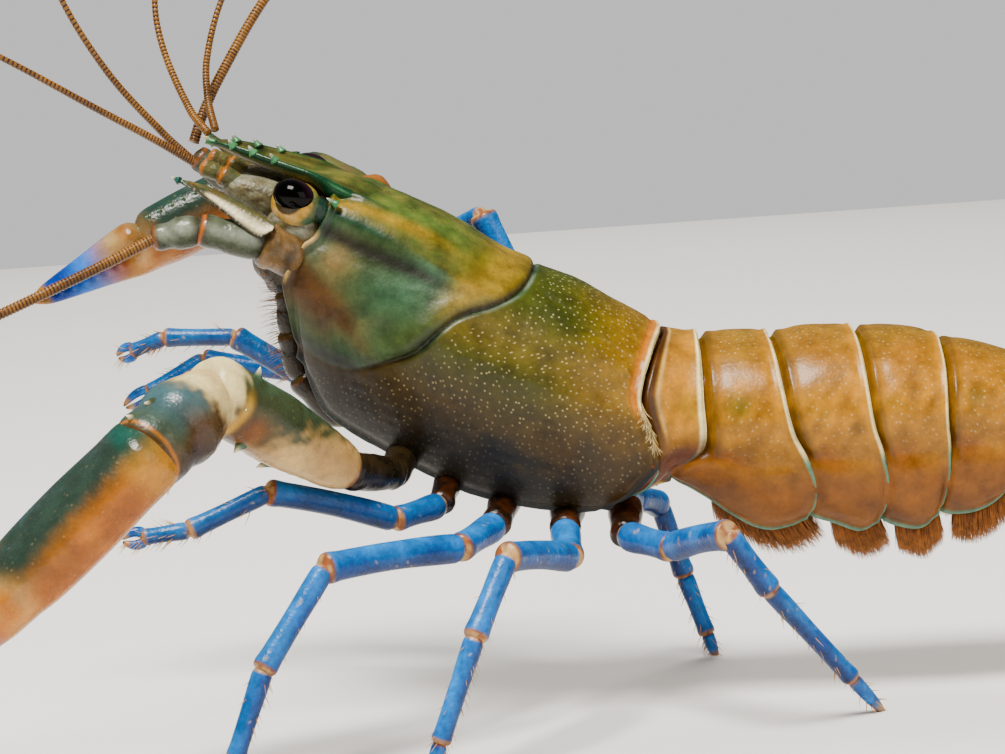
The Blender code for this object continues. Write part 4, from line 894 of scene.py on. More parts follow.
def leg_paint(dull):
    """Blue leg with cream and orange joints, painted lighter on its upper side and darker underneath as light
    and shade.
    """

    def paint(points, x, length, turns):
        blotch, small = waves(points, 5, 61), waves(points, 1.1, 62)
        # Painted light and shade: the mottled blue is lighter on the upper side and darker underneath.
        tint = mix(C["leg_blue"], C["leg_light"], 0.25 + 0.2 * blotch + 0.15 * small + 0.35 * np.cos(turns))
        tint = coats(tint, (
            ("leg_dark", 0.65 * smooth(-np.cos(turns), 0.0, 0.9) + 0.3 * smooth(small, 0.4, 1.1)),
            ("slate", dull),
            ("cream", 0.5 * smooth(waves(points, 0.8, 63), 1.1, 1.4)),
        ))
        ends = at_ends(x, length, 0.42)
        rim = mix(C["cream"], C["amber"], 0.25 + smooth(small + 0.5 * blotch, -0.2, 0.8))
        tint = coats(tint, (
            (rim, 0.92 * ends),
            ("rust", 0.7 * bell(x, length - 0.12, 0.16)),
        ))
        return tint, masks_of(0.25 * (1 - ends), 0.6 + 0 * x)

    return paint


def plain_paint(colour, other, rings=None, patch=0.5, reach=0.6):
    """Two mottled colours with rings of a third at the ends."""

    def paint(points, x, length, turns):
        blotch, small = waves(points, 3.5, 71), waves(points, 1.0, 72)
        tint = mix(C[colour], C[other], patch + 0.35 * blotch + 0.2 * small)
        if rings:
            tint = coats(tint, (
                (C[rings], 0.85 * at_ends(x, length, reach)),
                ("rust", 0.6 * bell(x, length - 0.1, 0.14)),
            ))
        return tint, masks_of(0, 0.7 + 0 * x)

    return paint


LEFT_LEGS = {
    2: [(43.3, -7, 22.2), (38.9, -11, 21.6), (27.4, -17, 25.8), (19.9, -19, 23.0), (13.6, -20, 22.6)],
    3: [(48.5, -7, 19.8), (45, -14, 18.8), (32.6, -24, 19.2), (26.6, -28, 10.9), (22.1, -29, -0.4)],
    4: [(55.3, -7, 18.9), (55.5, -13, 17.0), (49.5, -25, 19.2), (46.1, -29, 12.7), (40.7, -31, -0.4)],
    5: [(61.2, -7, 17.9), (65.4, -12, 17.1), (70.2, -22, 19.4), (73.9, -20, 13.7), (84.9, -13, -0.4)],
}
RIGHT_LEGS = {
    2: [(43.0, 13, 26.0), (37.0, 17, 27.5), (22.2, 20, 38.2), (14.6, 21, 38.6), (9.2, 22, 36.8)],
    3: [(49.5, 14, 24.0), (44.5, 20, 25.5), (28.0, 26, 33.5), (18.0, 27, 35.5), (9.0, 26, 31.0)],
    4: [(57.8, 13, 23.0), (56.6, 16.4, 30.4), (49.3, 18, 49.4), (44.6, 24.5, 47.2), (38.0, 32, 38.6)],
    5: [(61.8, 13, 19.0), (63.0, 17, 18.2), (66.2, 22, 16.8), (68.4, 23, 8.9), (71.3, 22, -0.4)],
}
LEG_ROOTS = {2: (35.0, -20.4), 3: (41.0, -20.2), 4: (47.0, -19.6), 5: (52.3, -17.4)}
LEG_RADII = (1.9, 1.5, 1.3, 1.05, 0.9, 0.45)
LEG_SIZES = {2: 0.87, 3: 1.0, 4: 1.0, 5: 1.0}
LEFT_CLAW = [(34.8, -14, 27.0), (23.9, -26, 36.4), (17.9, -34, 31.8), (-7.5, -36, 9.9)]
RIGHT_CLAW = [(40.0, 17.5, 37.0), (36.6, 18.5, 52.2), (26.0, 23, 54.2), (0.7, 20, 43.4)]
CLAW_ROOT = (29.8, -20.2)
CLAW_BEND = (1.8, 0.0, -1.6)
CLAW_RADII = (1.9, 2.6, 3.4, 3.7)
# Spines of the arm by place along it, turn round it and size, and of the wrist by side, place and length
MERUS_SPINES = ((0.76, 1.3, 0.9), (0.42, 0.4, 0.9), (0.85, 3.7, 0.8), (0.92, 2.4, 0.4))
CARPUS_SPINES = ((1, 0.85, 1.2), (-1, 0.93, 0.8), (-1, 0.7, 0.5))
FAR_CARPUS_SPINE = 0.3
MERUS_SPINE_SEAT, CARPUS_SPINE_SEAT = 3.3, 3.5
HAND_LENGTH = 34.2


def make_leg(side, number, joints, sign):
    """A walking leg, from its round root plate to the claw at its foot."""
    surface = Surface()
    s, h = LEG_ROOTS[number]
    path = [on_body(s, sign * 4.6, h)] + [np.array(p, float) for p in joints]
    r = [radius * LEG_SIZES[number] for radius in LEG_RADII]
    blue = leg_paint(0.25 if number == 2 else 0.0)
    coxa = plain_paint("coxa", "plate_brown", patch=0.25)
    article(surface, path[0], path[1], r[0] * 0.92, r[0] * 0.76, coxa, waist=1.0, relief=knobs)
    article(surface, path[1], path[2], r[1], r[1] * 0.92, blue)
    article(surface, path[2], path[3], r[2] * 1.02, r[1] * 0.88, blue, ratio=1.08, bow=0.25)
    wrist, foot = path[4], path[5]
    ankle = wrist + (foot - wrist) * 0.7
    article(surface, path[3], wrist, r[3] * 1.02, r[3] * 1.08, blue)
    article(surface, wrist, ankle, r[4] * 1.08, r[4], blue)
    axis = unit(foot - wrist)
    if number < 4:
        _, across, _ = frames_along(np.stack([wrist, foot]), (0, 0, 1))
        for shift, reach in ((0.42, 1.0), (-0.42, 0.97)):
            end = ankle + (foot - ankle) * reach
            aside = across[0] * shift
            prong(surface, ankle - axis * 0.3 + aside, end + aside * 0.3, 0.52, aside)
    else:
        prong(surface, ankle - axis * 0.1, foot, r[4] * 0.8, (0, 0, 0))
    name = f"leg_{side}_{number}"
    surface.make(name, LIMB, "leg", (f"{name}_upper", f"{name}_lower"))


def prong(surface, a, b, radius, curve):
    """A tapering last article with a hooked horny tip."""
    a, b = np.asarray(a), np.asarray(b)
    x = np.linspace(0, 1, 26)
    line = a + (b - a) * x[:, None] + np.asarray(curve) * (np.sin(x * math.pi) * 0.8)[:, None]
    width = radius * np.sqrt(np.clip(1 - x ** 2.2, 0.004, 1)) * (0.75 + 0.25 * smooth(x, 0, 0.15))

    def paint(points, turns):
        t = np.broadcast_to(x[:, None], turns.shape)
        colour = mix(C["leg_blue"], C["leg_light"], 0.3 + 0.3 * waves(points, 1.0, 64))
        colour = mix(colour, C["ochre_light"], 0.8 * smooth(t, 0.6, 0.85))
        colour = mix(mix(colour, C["amber"], bell(t, 0.04, 0.06)), C["brown"], smooth(t, 0.88, 0.98))
        return colour, PLAIN_MASK

    tube(surface, line, width, width, paint, sides=16)


def claw_axes(joints, hint):
    """Wrist, directions along and across a hand, and its size."""
    wrist, tip = np.array(joints[2], float), np.array(joints[3], float)
    axis = unit(tip - wrist)
    across = unit(np.asarray(hint) - axis * (axis @ np.asarray(hint)))
    return wrist, axis, across, np.cross(axis, across), np.linalg.norm(tip - wrist) / HAND_LENGTH


# Lower edge, upper edge and half thickness of the palm and of the moving finger, from the wrist outwards
PALM_LOW = [(-2.3, -1.6), (-1.7, -3.3), (-0.6, -4.1), (0.8, -4.3), (2.8, -4.6), (8, -4.9), (14, -4.9),
            (18.5, -4.3), (21, -3.7), (23.4, -3.1), (26.4, -2.5), (30, -1.8), (33, -1.1), (34.2, -0.5)]
PALM_HIGH = [(-2.3, 1.6), (-1.7, 3.3), (-0.6, 4.1), (0.8, 4.3), (2.8, 4.6), (8, 4.9), (14, 4.9), (16.2, 4.6),
             (17.4, 3.0), (18.8, 0.6), (20, 0.0), (23, -0.2), (28, -0.2), (32, -0.2), (34.2, -0.15)]
PALM_THICK = [(-2.3, 1.4), (-1.7, 2.6), (-0.6, 3.4), (0.8, 3.5), (2.5, 3.4), (8, 3.5), (14, 3.3), (17, 2.9),
              (19, 2.5), (23, 2.0), (28, 1.5), (32, 1.0), (34.2, 0.25)]
FINGER_LOW = [(16.9, 1.4), (18.2, 0.5), (20, 0.35), (25, 0.3), (30, 0.2), (33, 0.15), (34.3, 0.1)]
FINGER_HIGH = [(16.9, 3.4), (18.2, 4.4), (20, 4.25), (23.4, 3.4), (26.4, 2.6), (30, 1.8), (33, 1.1),
               (34.3, 0.5)]
FINGER_THICK = [(16.9, 1.3), (18.2, 2.0), (20, 2.1), (25, 1.7), (30, 1.2), (33, 0.7), (34.3, 0.25)]


def hand_tint(points, x, up, near):
    """Hand colours from the wrist to the finger tips, with a painted highlight along the upper edge; up is 1
    on the upper side.
    """
    blotch, small = waves(points, 7, 81), waves(points, 1.6, 82)
    streak = waves(points, 3.0, 83)
    split = smooth(up + 0.1 * blotch + 0.04 * small, -0.42, 0.3)
    tint = mix(mix(C["palm_orange"], C["orange"], 0.35 + 0.3 * streak), C["palm_dark"], split)
    tint = coats(tint, (
        ("eye_teal", 0.35 * smooth(up, 0.45, 1.0) * smooth(streak, -0.3, 0.8)),
        # Painted highlight: pale blue along the palm's upper edge.
        ("palm_blue", 0.5 * smooth(up + 0.15 * small, 0.6, 1.0) * smooth(-streak, -0.4, 0.6)),
        ("eye_yellow", 0.4 * (1 - smooth(x, 0.2, 3.0)) * (1 - smooth(up, -0.2, 0.5))),
        ("eye_teal", 0.7 * (1 - smooth(x, 0.2, 1.4)) * smooth(up, 0.1, 0.6)),
    ))
    finger = smooth(x + 1.2 * blotch, 14, 19)
    tint = coats(tint, (
        (mix(C["orange"], C["cream"], 0.4 + 0.4 * streak), finger * (0.75 if near else 0.6)),
        ("lilac", 0.75 * smooth(x + blotch, 20, 24)),
        ("sky", 0.9 * smooth(x + 0.6 * blotch, 22.5, 26.5)),
        ("blue", 0.95 * smooth(x + 0.5 * blotch, 25.5, 29.5)),
        ("ring_pale", 0.95 * smooth(x, 31.0, 32.2)),
        ("joint_orange", smooth(x, 32.6, 33.6)),
    ))
    return tint


def make_hand(surface, joints, hint, near):
    """Palm with its fixed finger, and the moving finger, toothed on their inner edges."""
    wrist, axis, across, thick, scale = claw_axes(joints, hint)
    upward = np.cross(axis, (0.0, 1.0, 0.0))
    upward = unit(upward * np.sign(upward[2]))
    for low, high, depth, inner in ((PALM_LOW, PALM_HIGH, PALM_THICK, 1),
                                    (FINGER_LOW, FINGER_HIGH, FINGER_THICK, -1)):
        x = np.linspace(low[0][0], low[-1][0], int((low[-1][0] - low[0][0]) / LIMB_STEP))
        y0, y1, z = along(low, x), along(high, x), along(depth, x)
        a = np.linspace(0, 2 * math.pi, 44, endpoint=False)
        far = np.broadcast_to(x[:, None], (len(x), 44))
        power = 0.86
        y = (y0 + y1)[:, None] / 2 + (y1 - y0)[:, None] / 2 * np.sign(np.cos(a)) * np.abs(np.cos(a)) ** power
        d = z[:, None] * np.sign(np.sin(a)) * np.abs(np.sin(a)) ** power
        tooth = bell(np.cos(a), inner, 0.28) * smooth(far, 19.5, 21) * (1 - smooth(far, 31.5, 33))
        y = y + inner * tooth * 0.28 * np.abs(np.sin(far * math.pi / 1.7)) ** 3
        y = y + 0.35 * smooth(far, 31.5, 34) * inner
        place = wrist + (axis * far[..., None] + across * y[..., None] + thick * d[..., None]) * scale
        height = (place - wrist - axis * (far * scale)[..., None]) @ upward
        tint = hand_tint(place, far, height / (4.6 * scale), near)
        grain = 0.3 * smooth(waves(place, 2, 84), 0.2, 1)
        surface.closed(place, tint, masks_of(grain, 0.75 + 0 * far))
        if inner == 1:
            for k in range(9):
                t = 3.5 + 1.7 * k
                spot = wrist + (axis * t + across * (float(along(PALM_HIGH, t)) - 0.1)) * scale
                tip = spot + (across * 0.3 + axis * 0.25) * scale
                cone(surface, spot, tip, 0.3, C["grey_green"], C["rim_blue"])


def duller(paint):
    """The same colours in olive and orange, for the far claw."""

    def changed(points, x, length, turns):
        tint, mask = paint(points, x, length, turns)
        blotch = waves(points, 4, 98)
        tint = mix(tint, mix(C["scale_dark"], C["dorsal_green"], smooth(blotch, -0.4, 0.6)), 0.8)
        return mix(tint, C["palm_orange"], 0.8 * smooth(x / length, 0.7, 0.95)), mask

    return changed


def merus_paint(points, x, length, turns):
    """Cheliped merus: cream at its root, streaked grey-green, with a pale elbow and a pale blue painted
    highlight along its top edge.
    """
    t = x / length
    blotch, small = waves(points, 6, 91), waves(points, 1.5, 92)
    streak = waves(points * (1, 1, 1.8), 2.4, 93)
    top = np.cos(turns)
    tint = mix(C["peach"], C["cream"], 0.5 + 0.4 * blotch)
    upper = smooth(t * 1.1 + 0.34 * top + 0.1 * streak, 0.3, 0.62)
    tint = coats(tint, (
        (C["grey_green"] * 0.8, upper),
        ("teal_grey", 0.6 * smooth(top, 0.1, 0.9) * smooth(t, 0.15, 0.5) * smooth(streak, -0.5, 0.7)),
        # Painted highlight: pale blue along the top edge.
        (C["palm_blue"] * 1.3, 0.7 * smooth(top, 0.75, 0.98) * smooth(t, 0.1, 0.3)),
        (C["lobe"] * 0.8, 0.6 * smooth(t, 0.55, 0.8) * smooth(-top + 0.4 * blotch, -0.3, 0.7)),
        ("palm_orange", 0.6 * bell(t, 0.74, 0.07) * bell(top, -0.6, 0.35)),
        (C["rim_cream"] * 0.85, 0.9 * smooth(t + 0.03 * small, 0.87, 0.94)),
        ("eye_yellow", 0.85 * bell(t, 0.865, 0.03) * smooth(-top, -0.5, 0.3)),
        ("orange", 0.6 * bell(t, 0.96, 0.03) * smooth(-top, 0.0, 0.7)),
        ("rust", 0.7 * (1 - smooth(x, 0.25, 0.9))),
    ))
    return tint, masks_of(0.2 * smooth(small, 0, 1), 0.7 + 0 * x)


def carpus_paint(points, x, length, turns):
    """Wrist of the cheliped: cream at the elbow, purple-brown below, blue-grey at its end."""
    t = x / length
    blotch, small = waves(points, 5, 94), waves(points, 1.3, 95)
    top = np.cos(turns)
    tint = mix(C["rim_cream"] * 0.8, C["peach"], 0.4 + 0.4 * blotch)
    body = smooth(t - 0.12 * top + 0.05 * small, 0.2, 0.42)
    tint = coats(tint, (
        (mix(C["lobe"] * 0.8, C["flesh"], 0.35 + 0.3 * blotch), body),
        ("palm_blue", body * smooth(top + 0.3 * blotch, 0.1, 0.8)),
        (C["grey_green"] * 0.8, 0.7 * smooth(t, 0.6, 0.9) * smooth(top, -0.3, 0.5)),
        ("deep_brown", 0.7 * smooth(-top, -0.1, 0.7) * smooth(t, 0.35, 0.7)),
        ("palm_orange", 0.8 * smooth(-top, 0.82, 0.97) * smooth(t, 0.3, 0.5)),
        ("orange", 0.75 * bell(x, length - 0.3, 0.14)),
        ("rust_brown", 0.95 * smooth(x, length - 0.15, length + 0.1)),
    ))
    return tint, masks_of(0.15 * smooth(small, 0, 1), 0.72 + 0 * x)


def knobs(points):
    """Gentle unevenness of a limb's shell."""
    return 0.06 * waves(points, 4, 96) + 0.03 * waves(points, 1.2, 97)


def make_claw(side, joints, sign, hint):
    """A cheliped from its root to its finger tips."""
    root = on_body(CLAW_ROOT[0], sign * 4.4, CLAW_ROOT[1])
    p = [np.array(q, float) for q in joints]
    bend = root + (p[0] - root) * 0.55 + np.array(CLAW_BEND) * (1 if sign > 0 else 0.5)
    arm, wrist = (merus_paint, carpus_paint) if sign > 0 else (duller(merus_paint), duller(carpus_paint))
    surface = Surface()
    brown = plain_paint("scale_dark", "deep_brown", patch=0.5)
    article(surface, root, bend, CLAW_RADII[0] * 0.9, CLAW_RADII[0] * 0.85, brown, waist=1.0, lip=0.98)
    article(surface, bend, p[0], CLAW_RADII[0] * 0.85, CLAW_RADII[0] * 0.98, brown, waist=1.04,
            relief=knobs, neck=0.98, lip=1.0)
    surface.make(f"claw_{side}_root", CLAW, "claw", (f"claw_{side}_base",))

    surface = Surface()
    axis = unit(p[1] - p[0])
    article(surface, p[0], p[1] + axis * 1.1, CLAW_RADII[1] * 0.95, CLAW_RADII[2], arm, sides=48,
            waist=1.16, relief=knobs, lip=1.0)
    _, across, thick = frames_along(np.stack([p[0], p[1]]), (-1, 0, 0))
    for t, turn, size in MERUS_SPINES:
        outward = across[0] * math.cos(turn) + thick[0] * math.sin(turn)
        place = p[0] + (p[1] - p[0]) * t + outward * MERUS_SPINE_SEAT
        tip = place + (outward * 1.3 + axis * 0.7) * size
        cone(surface, place, tip, 0.55 * size, C["teal_grey"], C["white"], sunk=0.5)
    surface.make(f"claw_{side}_arm", CLAW, "claw", (f"claw_{side}_merus",))

    surface = Surface()
    article(surface, p[1], p[2], CLAW_RADII[3] * 0.88, CLAW_RADII[3], wrist, sides=48, waist=1.18,
            relief=knobs, neck=0.82, lip=1.02)
    _, across, _ = frames_along(np.stack([p[1], p[2]]), (0, 0, -1))
    axis = unit(p[2] - p[1])
    for way, t, reach in CARPUS_SPINES:
        reach = reach if sign > 0 else FAR_CARPUS_SPINE
        place = p[1] + (p[2] - p[1]) * t + across[0] * way * CARPUS_SPINE_SEAT
        tip = place + across[0] * way * reach + axis * 0.7
        cone(surface, place, tip, 0.42, C["grey_green"], C["white"], sunk=0.5)
    surface.make(f"claw_{side}_wrist", CLAW, "claw", (f"claw_{side}_carpus",))

    surface = Surface()
    make_hand(surface, joints, hint, sign > 0)
    surface.make(f"claw_{side}_hand", CLAW, "claw", (f"claw_{side}_palm", f"claw_{side}_finger"))


# Head

ANTENNULE_JOINTS = ((8.2, 1.8, -3.4), (5.2, 2.3, -2.3), (2.8, 2.5, -1.9), (0.8, 2.4, -1.9))
ANTENNA_JOINTS = {
    "left": ((13.0, 5.6, -5.8), (9.4, 7.2, -5.6), (3.2, 8.2, -6.3), (-0.6, 8.4, -8.8)),
    "right": ((13.0, 5.6, -5.8), (9.4, 7.2, -5.6), (3.4, 7.7, -5.0), (-0.9, 7.3, -3.7)),
}
SCALE_EDGE = {
    "left": ((9.8, 8.4, -3.2), (6.5, 8.3, -2.9), (3.0, 7.8, -2.8), (0.5, 7.1, -2.9), (-0.8, 6.5, -3.0)),
    "right": ((9.8, 8.6, -3.2), (6.5, 8.9, -2.5), (3.0, 8.6, -1.7), (0.3, 8.1, -1.2), (-1.1, 7.5, -0.9)),
}
MAXILLIPED_JOINTS = ((22.8, 3.0, -20.6), (17.4, 3.1, -18.0), (14.9, 3.1, -14.2), (13.0, 3.0, -10.6),
                     (10.9, 2.8, -8.2))
LEFT_WHIP = [(17.4, -8.5, 50.1), (12.3, -10, 47.9), (3, -14, 44.2), (-12, -21, 38.5), (-30, -31, 31.5),
             (-48, -42, 25.0), (-64, -54, 20.5)]
RIGHT_WHIP = [(20.6, 7.4, 59.2), (21.5, 8.2, 61.6), (23.5, 9.5, 65.5), (28.8, 14, 73.8), (38.2, 22, 84.5),
              (51, 32, 94), (66, 43, 100.5), (80, 54, 103)]
LEFT_FEELERS = {
    "outer": [(21.4, -2.6, 57.2), (17.9, -4, 59.7), (13, -6, 62.9), (4.4, -10, 68.6), (-2.5, -14, 72.5)],
    "inner": [(21.1, -1.4, 57.5), (18.7, -2, 60.1), (14, -4, 66.3), (10.2, -6, 73.8), (8.4, -8, 81)],
}
RIGHT_FEELERS = {
    "outer": [(23.2, 3.4, 60.3), (22.5, 6, 63.3), (22.5, 8, 67.4), (24.3, 10, 73.4), (28, 13, 80)],
    "inner": [(22.6, 2.0, 60.0), (20.8, 4, 62.4), (18.3, 7, 68.7), (17.6, 9, 73.8), (18.6, 12, 81)],
}
WHIP_RADII = (0.55, 0.27)
FEELER_RADII = (0.42, 0.25)


def make_feeler(name, node, points, radii, ring_length):
    """A ringed whip, with each ring swollen and banded, and painted a little lighter on top as light."""
    surface = Surface()
    line, x = line_through(points, ring_length / 5)
    share = x / x[-1]
    phase = x / (ring_length * (0.85 + 0.5 * share))
    swell = np.abs(np.cos(phase * math.pi)) ** 0.7
    radius = (radii[0] + (radii[1] - radii[0]) * share) * (0.82 + 0.22 * swell)

    def paint(points, turns):
        pale = np.broadcast_to(smooth(swell, 0.45, 0.8)[:, None], turns.shape)
        # Painted light: the rings are a little paler on the upper side.
        colour = mix(C["ring_dark"], C["ring_pale"], pale * (0.75 + 0.2 * np.cos(turns)))
        return mix(colour, C["violet_brown"], 0.25 + 0.2 * waves(points, 9, 66)), PLAIN_MASK

    tube(surface, line, radius, radius, paint, sides=14)
    surface.make(name, LIMB, "feeler", (node,))


def make_eye(side, sign):
    """A dark eye set in the cup of its short stalk."""
    outward = unit(LEFT * sign * 0.86 - BACK * 0.42 + UP * 0.28)
    ahead = unit(-BACK - outward * (-BACK @ outward))
    upward = np.cross(outward, ahead)
    upward = upward * np.sign(upward[2])
    centre = on_body(10.4, sign * 6.0, -0.4)
    p, a = net(0.005, 0.72 * math.pi, 60, 72)

    def dome(middle, radii):
        return middle + (ball(p, a) * radii) @ np.stack([outward, ahead, upward])

    surface = Surface()
    points = dome(centre + upward * 0.12, (1.9, 2.14, 1.68))
    tint = mix(C["black"], C["violet_brown"], smooth(p, 0.75, 1.4) * smooth(np.sin(a), -0.4, 0.4))
    surface.closed(points, tint, (0, 1, 0))
    surface.make(f"cornea_{side}", EYE, "eye", (f"eye_{side}",))

    surface = Surface()
    cup = dome(centre - outward * 0.9 - upward * 0.55 - ahead * 0.1, (2.05, 2.55, 2.35))
    rise = np.sin(a)
    fine = waves(cup, 0.8, 73)
    tint = mix(C["cup"], C["eye_yellow"], 0.5 + 0.4 * fine)
    tint = coats(tint, (
        ("cream", 0.6 * (1 - smooth(rise, -0.9, -0.5))),
        ("deep_brown", 0.9 * (1 - smooth(p, 0.55, 0.68))),
        ("eye_teal", 0.9 * bell(np.cos(a), -0.85, 0.3) * smooth(p, 0.9, 1.2)),
        ("teal_grey", 0.8 * smooth(p, 1.55, 1.9)),
        ("rostrum", 0.6 * smooth(rise, 0.2, 0.8)),
    ))
    surface.closed(cup, tint, (0, 0.85, 0))
    article(surface, on_body(11.6, sign * 1.6, -1.9), centre - outward * 1.0, 1.5, 1.7,
            plain_paint("cream", "rostrum"))
    surface.make(f"stalk_{side}", SOFT, "eyestalk", (f"eyestalk_{side}",))


def make_antennule(side, sign):
    """Three glossy articles beneath the beak."""
    surface = Surface()
    j = joints_on_body(ANTENNULE_JOINTS, sign)
    paint = plain_paint("flesh", "grey_green", "orange", patch=0.4, reach=0.3)
    for a, b, start, end in ((0, 1, 1.15, 1.2), (1, 2, 1.0, 1.05), (2, 3, 0.85, 0.9)):
        article(surface, j[a], j[b], start, end, paint, waist=1.0)
    surface.make(f"antennule_{side}_base", SOFT, "peduncle", (f"antennule_{side}",))


def peduncle_paint(points, x, length, turns):
    """Grey glossy swelling with a painted highlight on top, painted shade underneath, olive edges and a thin
    orange line at its end.
    """
    top = np.cos(turns)
    small = waves(points, 1.2, 79)
    # Pale grey painted highlight along the top.
    tint = mix(C["grey_green"] * 0.9, C["pearl"], 0.55 * bell(top, 0.55, 0.45) + 0.1 * small)
    tint = coats(tint, (
        ("dark_olive", 0.75 * smooth(np.abs(x / length - 0.5), 0.28, 0.5)),
        # Painted shade on the underside.
        ("dark_olive", 0.6 * smooth(-top, 0.0, 0.8)),
        ("joint_orange", 0.95 * bell(x, length - 0.1, 0.13)),
    ))
    return tint, masks_of(0, 0.8 + 0 * x)


def make_antenna_root(side, sign):
    """The thick articles that carry the long antenna."""
    surface = Surface()
    j = joints_on_body(ANTENNA_JOINTS[side], sign)
    # First article mostly dark brown mottled with sand, its own colour darkened partly as painted shade.
    article(surface, j[0], j[1], 2.4, 2.2, plain_paint("sand", "scale_dark", patch=0.6), waist=1.0)
    article(surface, j[1], j[2], 1.75, 1.6, peduncle_paint, waist=1.05, flat=(0, -0.4, 1), lip=1.02)
    article(surface, j[2], j[3], 1.55, 1.3, peduncle_paint, waist=1.1, flat=(0, -0.4, 1), lip=1.02)
    surface.make(f"antenna_{side}_base", LIMB, "peduncle", (f"antenna_base_{side}",))


def make_scale(side, sign):
    """The flat pointed blade over the antenna, with a bright ridge along its outer edge, its brightness
    partly a painted highlight.
    """
    edge = [(s, (l, h)) for s, l, h in SCALE_EDGE[side][::-1]]
    tip = edge[0][0]
    width = [(tip, 0.15), (tip + 0.6, 0.9), (tip + 1.3, 2.2), (3.0, 3.8), (6.5, 3.1), (9.0, 1.5), (9.8, 0.4)]
    s, a = net(tip, 9.8, 60, 48)
    outer = along(edge, s)
    w = along(width, s)
    inward = (1 - np.cos(a)) / 2
    side_place = outer[..., 0] - w * inward + 0.6 * (1 - smooth(inward, 0, 0.3)) * smooth(s, 2, 8)
    thick = 0.16 + 0.1 * bell(inward, 0.0, 0.3)
    curl = along([(tip, 0.0), (3.0, 0.6), (6.5, 1.3), (8.8, 1.5), (9.8, 0.4)], s)
    curl = curl * (1 - smooth(inward, 0, 0.26))
    h = outer[..., 1] - 0.35 * w * inward / 4 + np.sin(a) * thick - curl
    points = on_body(s, sign * side_place, h)
    tint = mix(C["flesh"], C["grey_green"], 0.45 + 0.4 * waves(points, 2.5, 74))
    # Darker on the curled outer band.
    tint = tint * (0.55 + 0.45 * smooth(inward, 0.15, 0.3))[..., None]
    # A pale stripe along the ridge, partly the blade's own pale margin and partly a painted highlight; a dark
    # outer rim, partly a painted shadow line; a teal tip; and the underside darkened as painted shade.
    tint = coats(tint, (
        ("white", 0.95 * bell(inward, 0.11, 0.055) * smooth(s, 1.8, 3.2)),
        ("dark_olive", 0.85 * (1 - smooth(inward, 0.015, 0.06))),
        ("teal", 0.7 * (1 - smooth(s, -0.6, 0.6))),
        ("scale_dark", 0.6 * (np.sin(a) < -0.2) * np.ones_like(s)),
    ))
    surface = Surface()
    surface.closed(points, tint, (0, 0.85, 0))
    end = on_body(tip + 0.1, sign * edge[0][1][0], edge[0][1][1])
    cone(surface, end, end - BACK * 0.7 - LEFT * sign * 0.3, 0.28, C["teal"], C["white"])
    surface.make(f"scale_{side}", SOFT, "peduncle", (f"antenna_scale_{side}",))


def make_mouthpart(side, sign):
    """The leg-like outer mouthpart."""
    surface = Surface()
    j = joints_on_body(MAXILLIPED_JOINTS, sign)
    paint = plain_paint("scale_dark", "deep_brown", "flesh", patch=0.4, reach=0.3)
    for k, start, end in ((0, 1.6, 1.6), (1, 1.5, 1.4), (2, 1.25, 1.1), (3, 0.9, 0.5)):
        article(surface, j[k], j[k + 1], start, end, paint, flat=LEFT, waist=1.05)
    surface.make(f"maxilliped_{side}_skin", LIMB, "mouthpart", (f"maxilliped_{side}",))


def flesh_tint(points):
    """Olive-beige skin with fine streaks."""
    fine = waves(points @ np.stack([BACK * 0.35, LEFT, UP], -1), 0.55, 80)
    tint = mix(C["flesh"], C["pearl"], 0.35 + 0.3 * waves(points, 2.2, 76))
    return mix(tint, C["scale_dark"], 0.35 + 0.35 * fine)


def make_face():
    """Soft parts between the beak, eyes and mouth."""
    surface = Surface()
    p, a = net(0.03, math.pi - 0.03, 70, 90)
    way = ball(p, a)
    points = on_body(13.6 - 6.1 * way[..., 0], 5.1 * way[..., 1], -6.4 + 5.5 * way[..., 2])
    points = points + unit(points - on_body(13.6, 0, -6.4)) * (0.18 * waves(points, 2.0, 75))[..., None]
    tint = mix(C["flesh"], C["pearl"], 0.35 + 0.3 * waves(points, 2.2, 76))
    tint = mix(tint, C["scale_dark"], smooth(-way[..., 2], -0.2, 0.6))
    surface.closed(points, tint, (0, 0.6, 0))
    lid = C["eye_teal"] * 0.35 + C["dark_olive"] * 0.5
    bead(surface, on_body(21.0, 0, -12.5), (6.0, 6.8, 7.6), C["scale_dark"], 60, 50, 0.4)
    for sign in (1, -1):
        bead(surface, on_body(8.6, sign * 2.5, -2.6), (5.4, 2.0, 2.1), flesh_tint, 48, 40, 0.6)
        bead(surface, on_body(11.6, sign * 5.6, -3.4), (2.9, 1.6, 1.9), flesh_tint, 40, 30, 0.6)
        bead(surface, on_body(12.9, sign * 5.3, -0.9), (1.6, 1.5, 1.3), lid, 30, 24, 0.8)
        foot, tip = on_body(12.3, sign * 7.6, -4.7), on_body(11.1, sign * 8.3, -4.4)
        cone(surface, foot, tip, 0.4, C["teal"], C["pearl"])
    surface.make("face", SOFT, "membrane")


def make_floor_of_body():
    """The soft floor of the thorax between the legs."""
    surface = Surface()
    s, a = net(19.5, 54.5, 120, 64)
    low = along(SHELL_LOW, s)
    width = along([(19.5, 3.3), (30, 6.0), (46, 6.2), (49.5, 6.4), (54.5, 6.6)], s)
    height = along([(19.5, 2.0), (30, 2.4), (46, 2.6), (49.5, 4.0), (54.5, 4.5)], s)
    h = low + 0.2 + height * 0.45 + np.sin(a) * height * 0.75
    points = on_body(s, np.cos(a) * width, h)
    outward = unit(points - on_body(s, 0 * s, low + 1.5))
    points = points + outward * (0.25 * waves(points, 2.6, 77))[..., None]
    tint = mix(C["plate_brown"], C["peach"], 0.45 + 0.45 * waves(points, 2.4, 78))
    tint = mix(tint, C["membrane"], smooth(s, 47, 50))
    surface.closed(points, tint, (0.0, 0.4, 0))
    surface.make("sternal_floor", SOFT, "sternum", ("sternum",))


# Tail fan

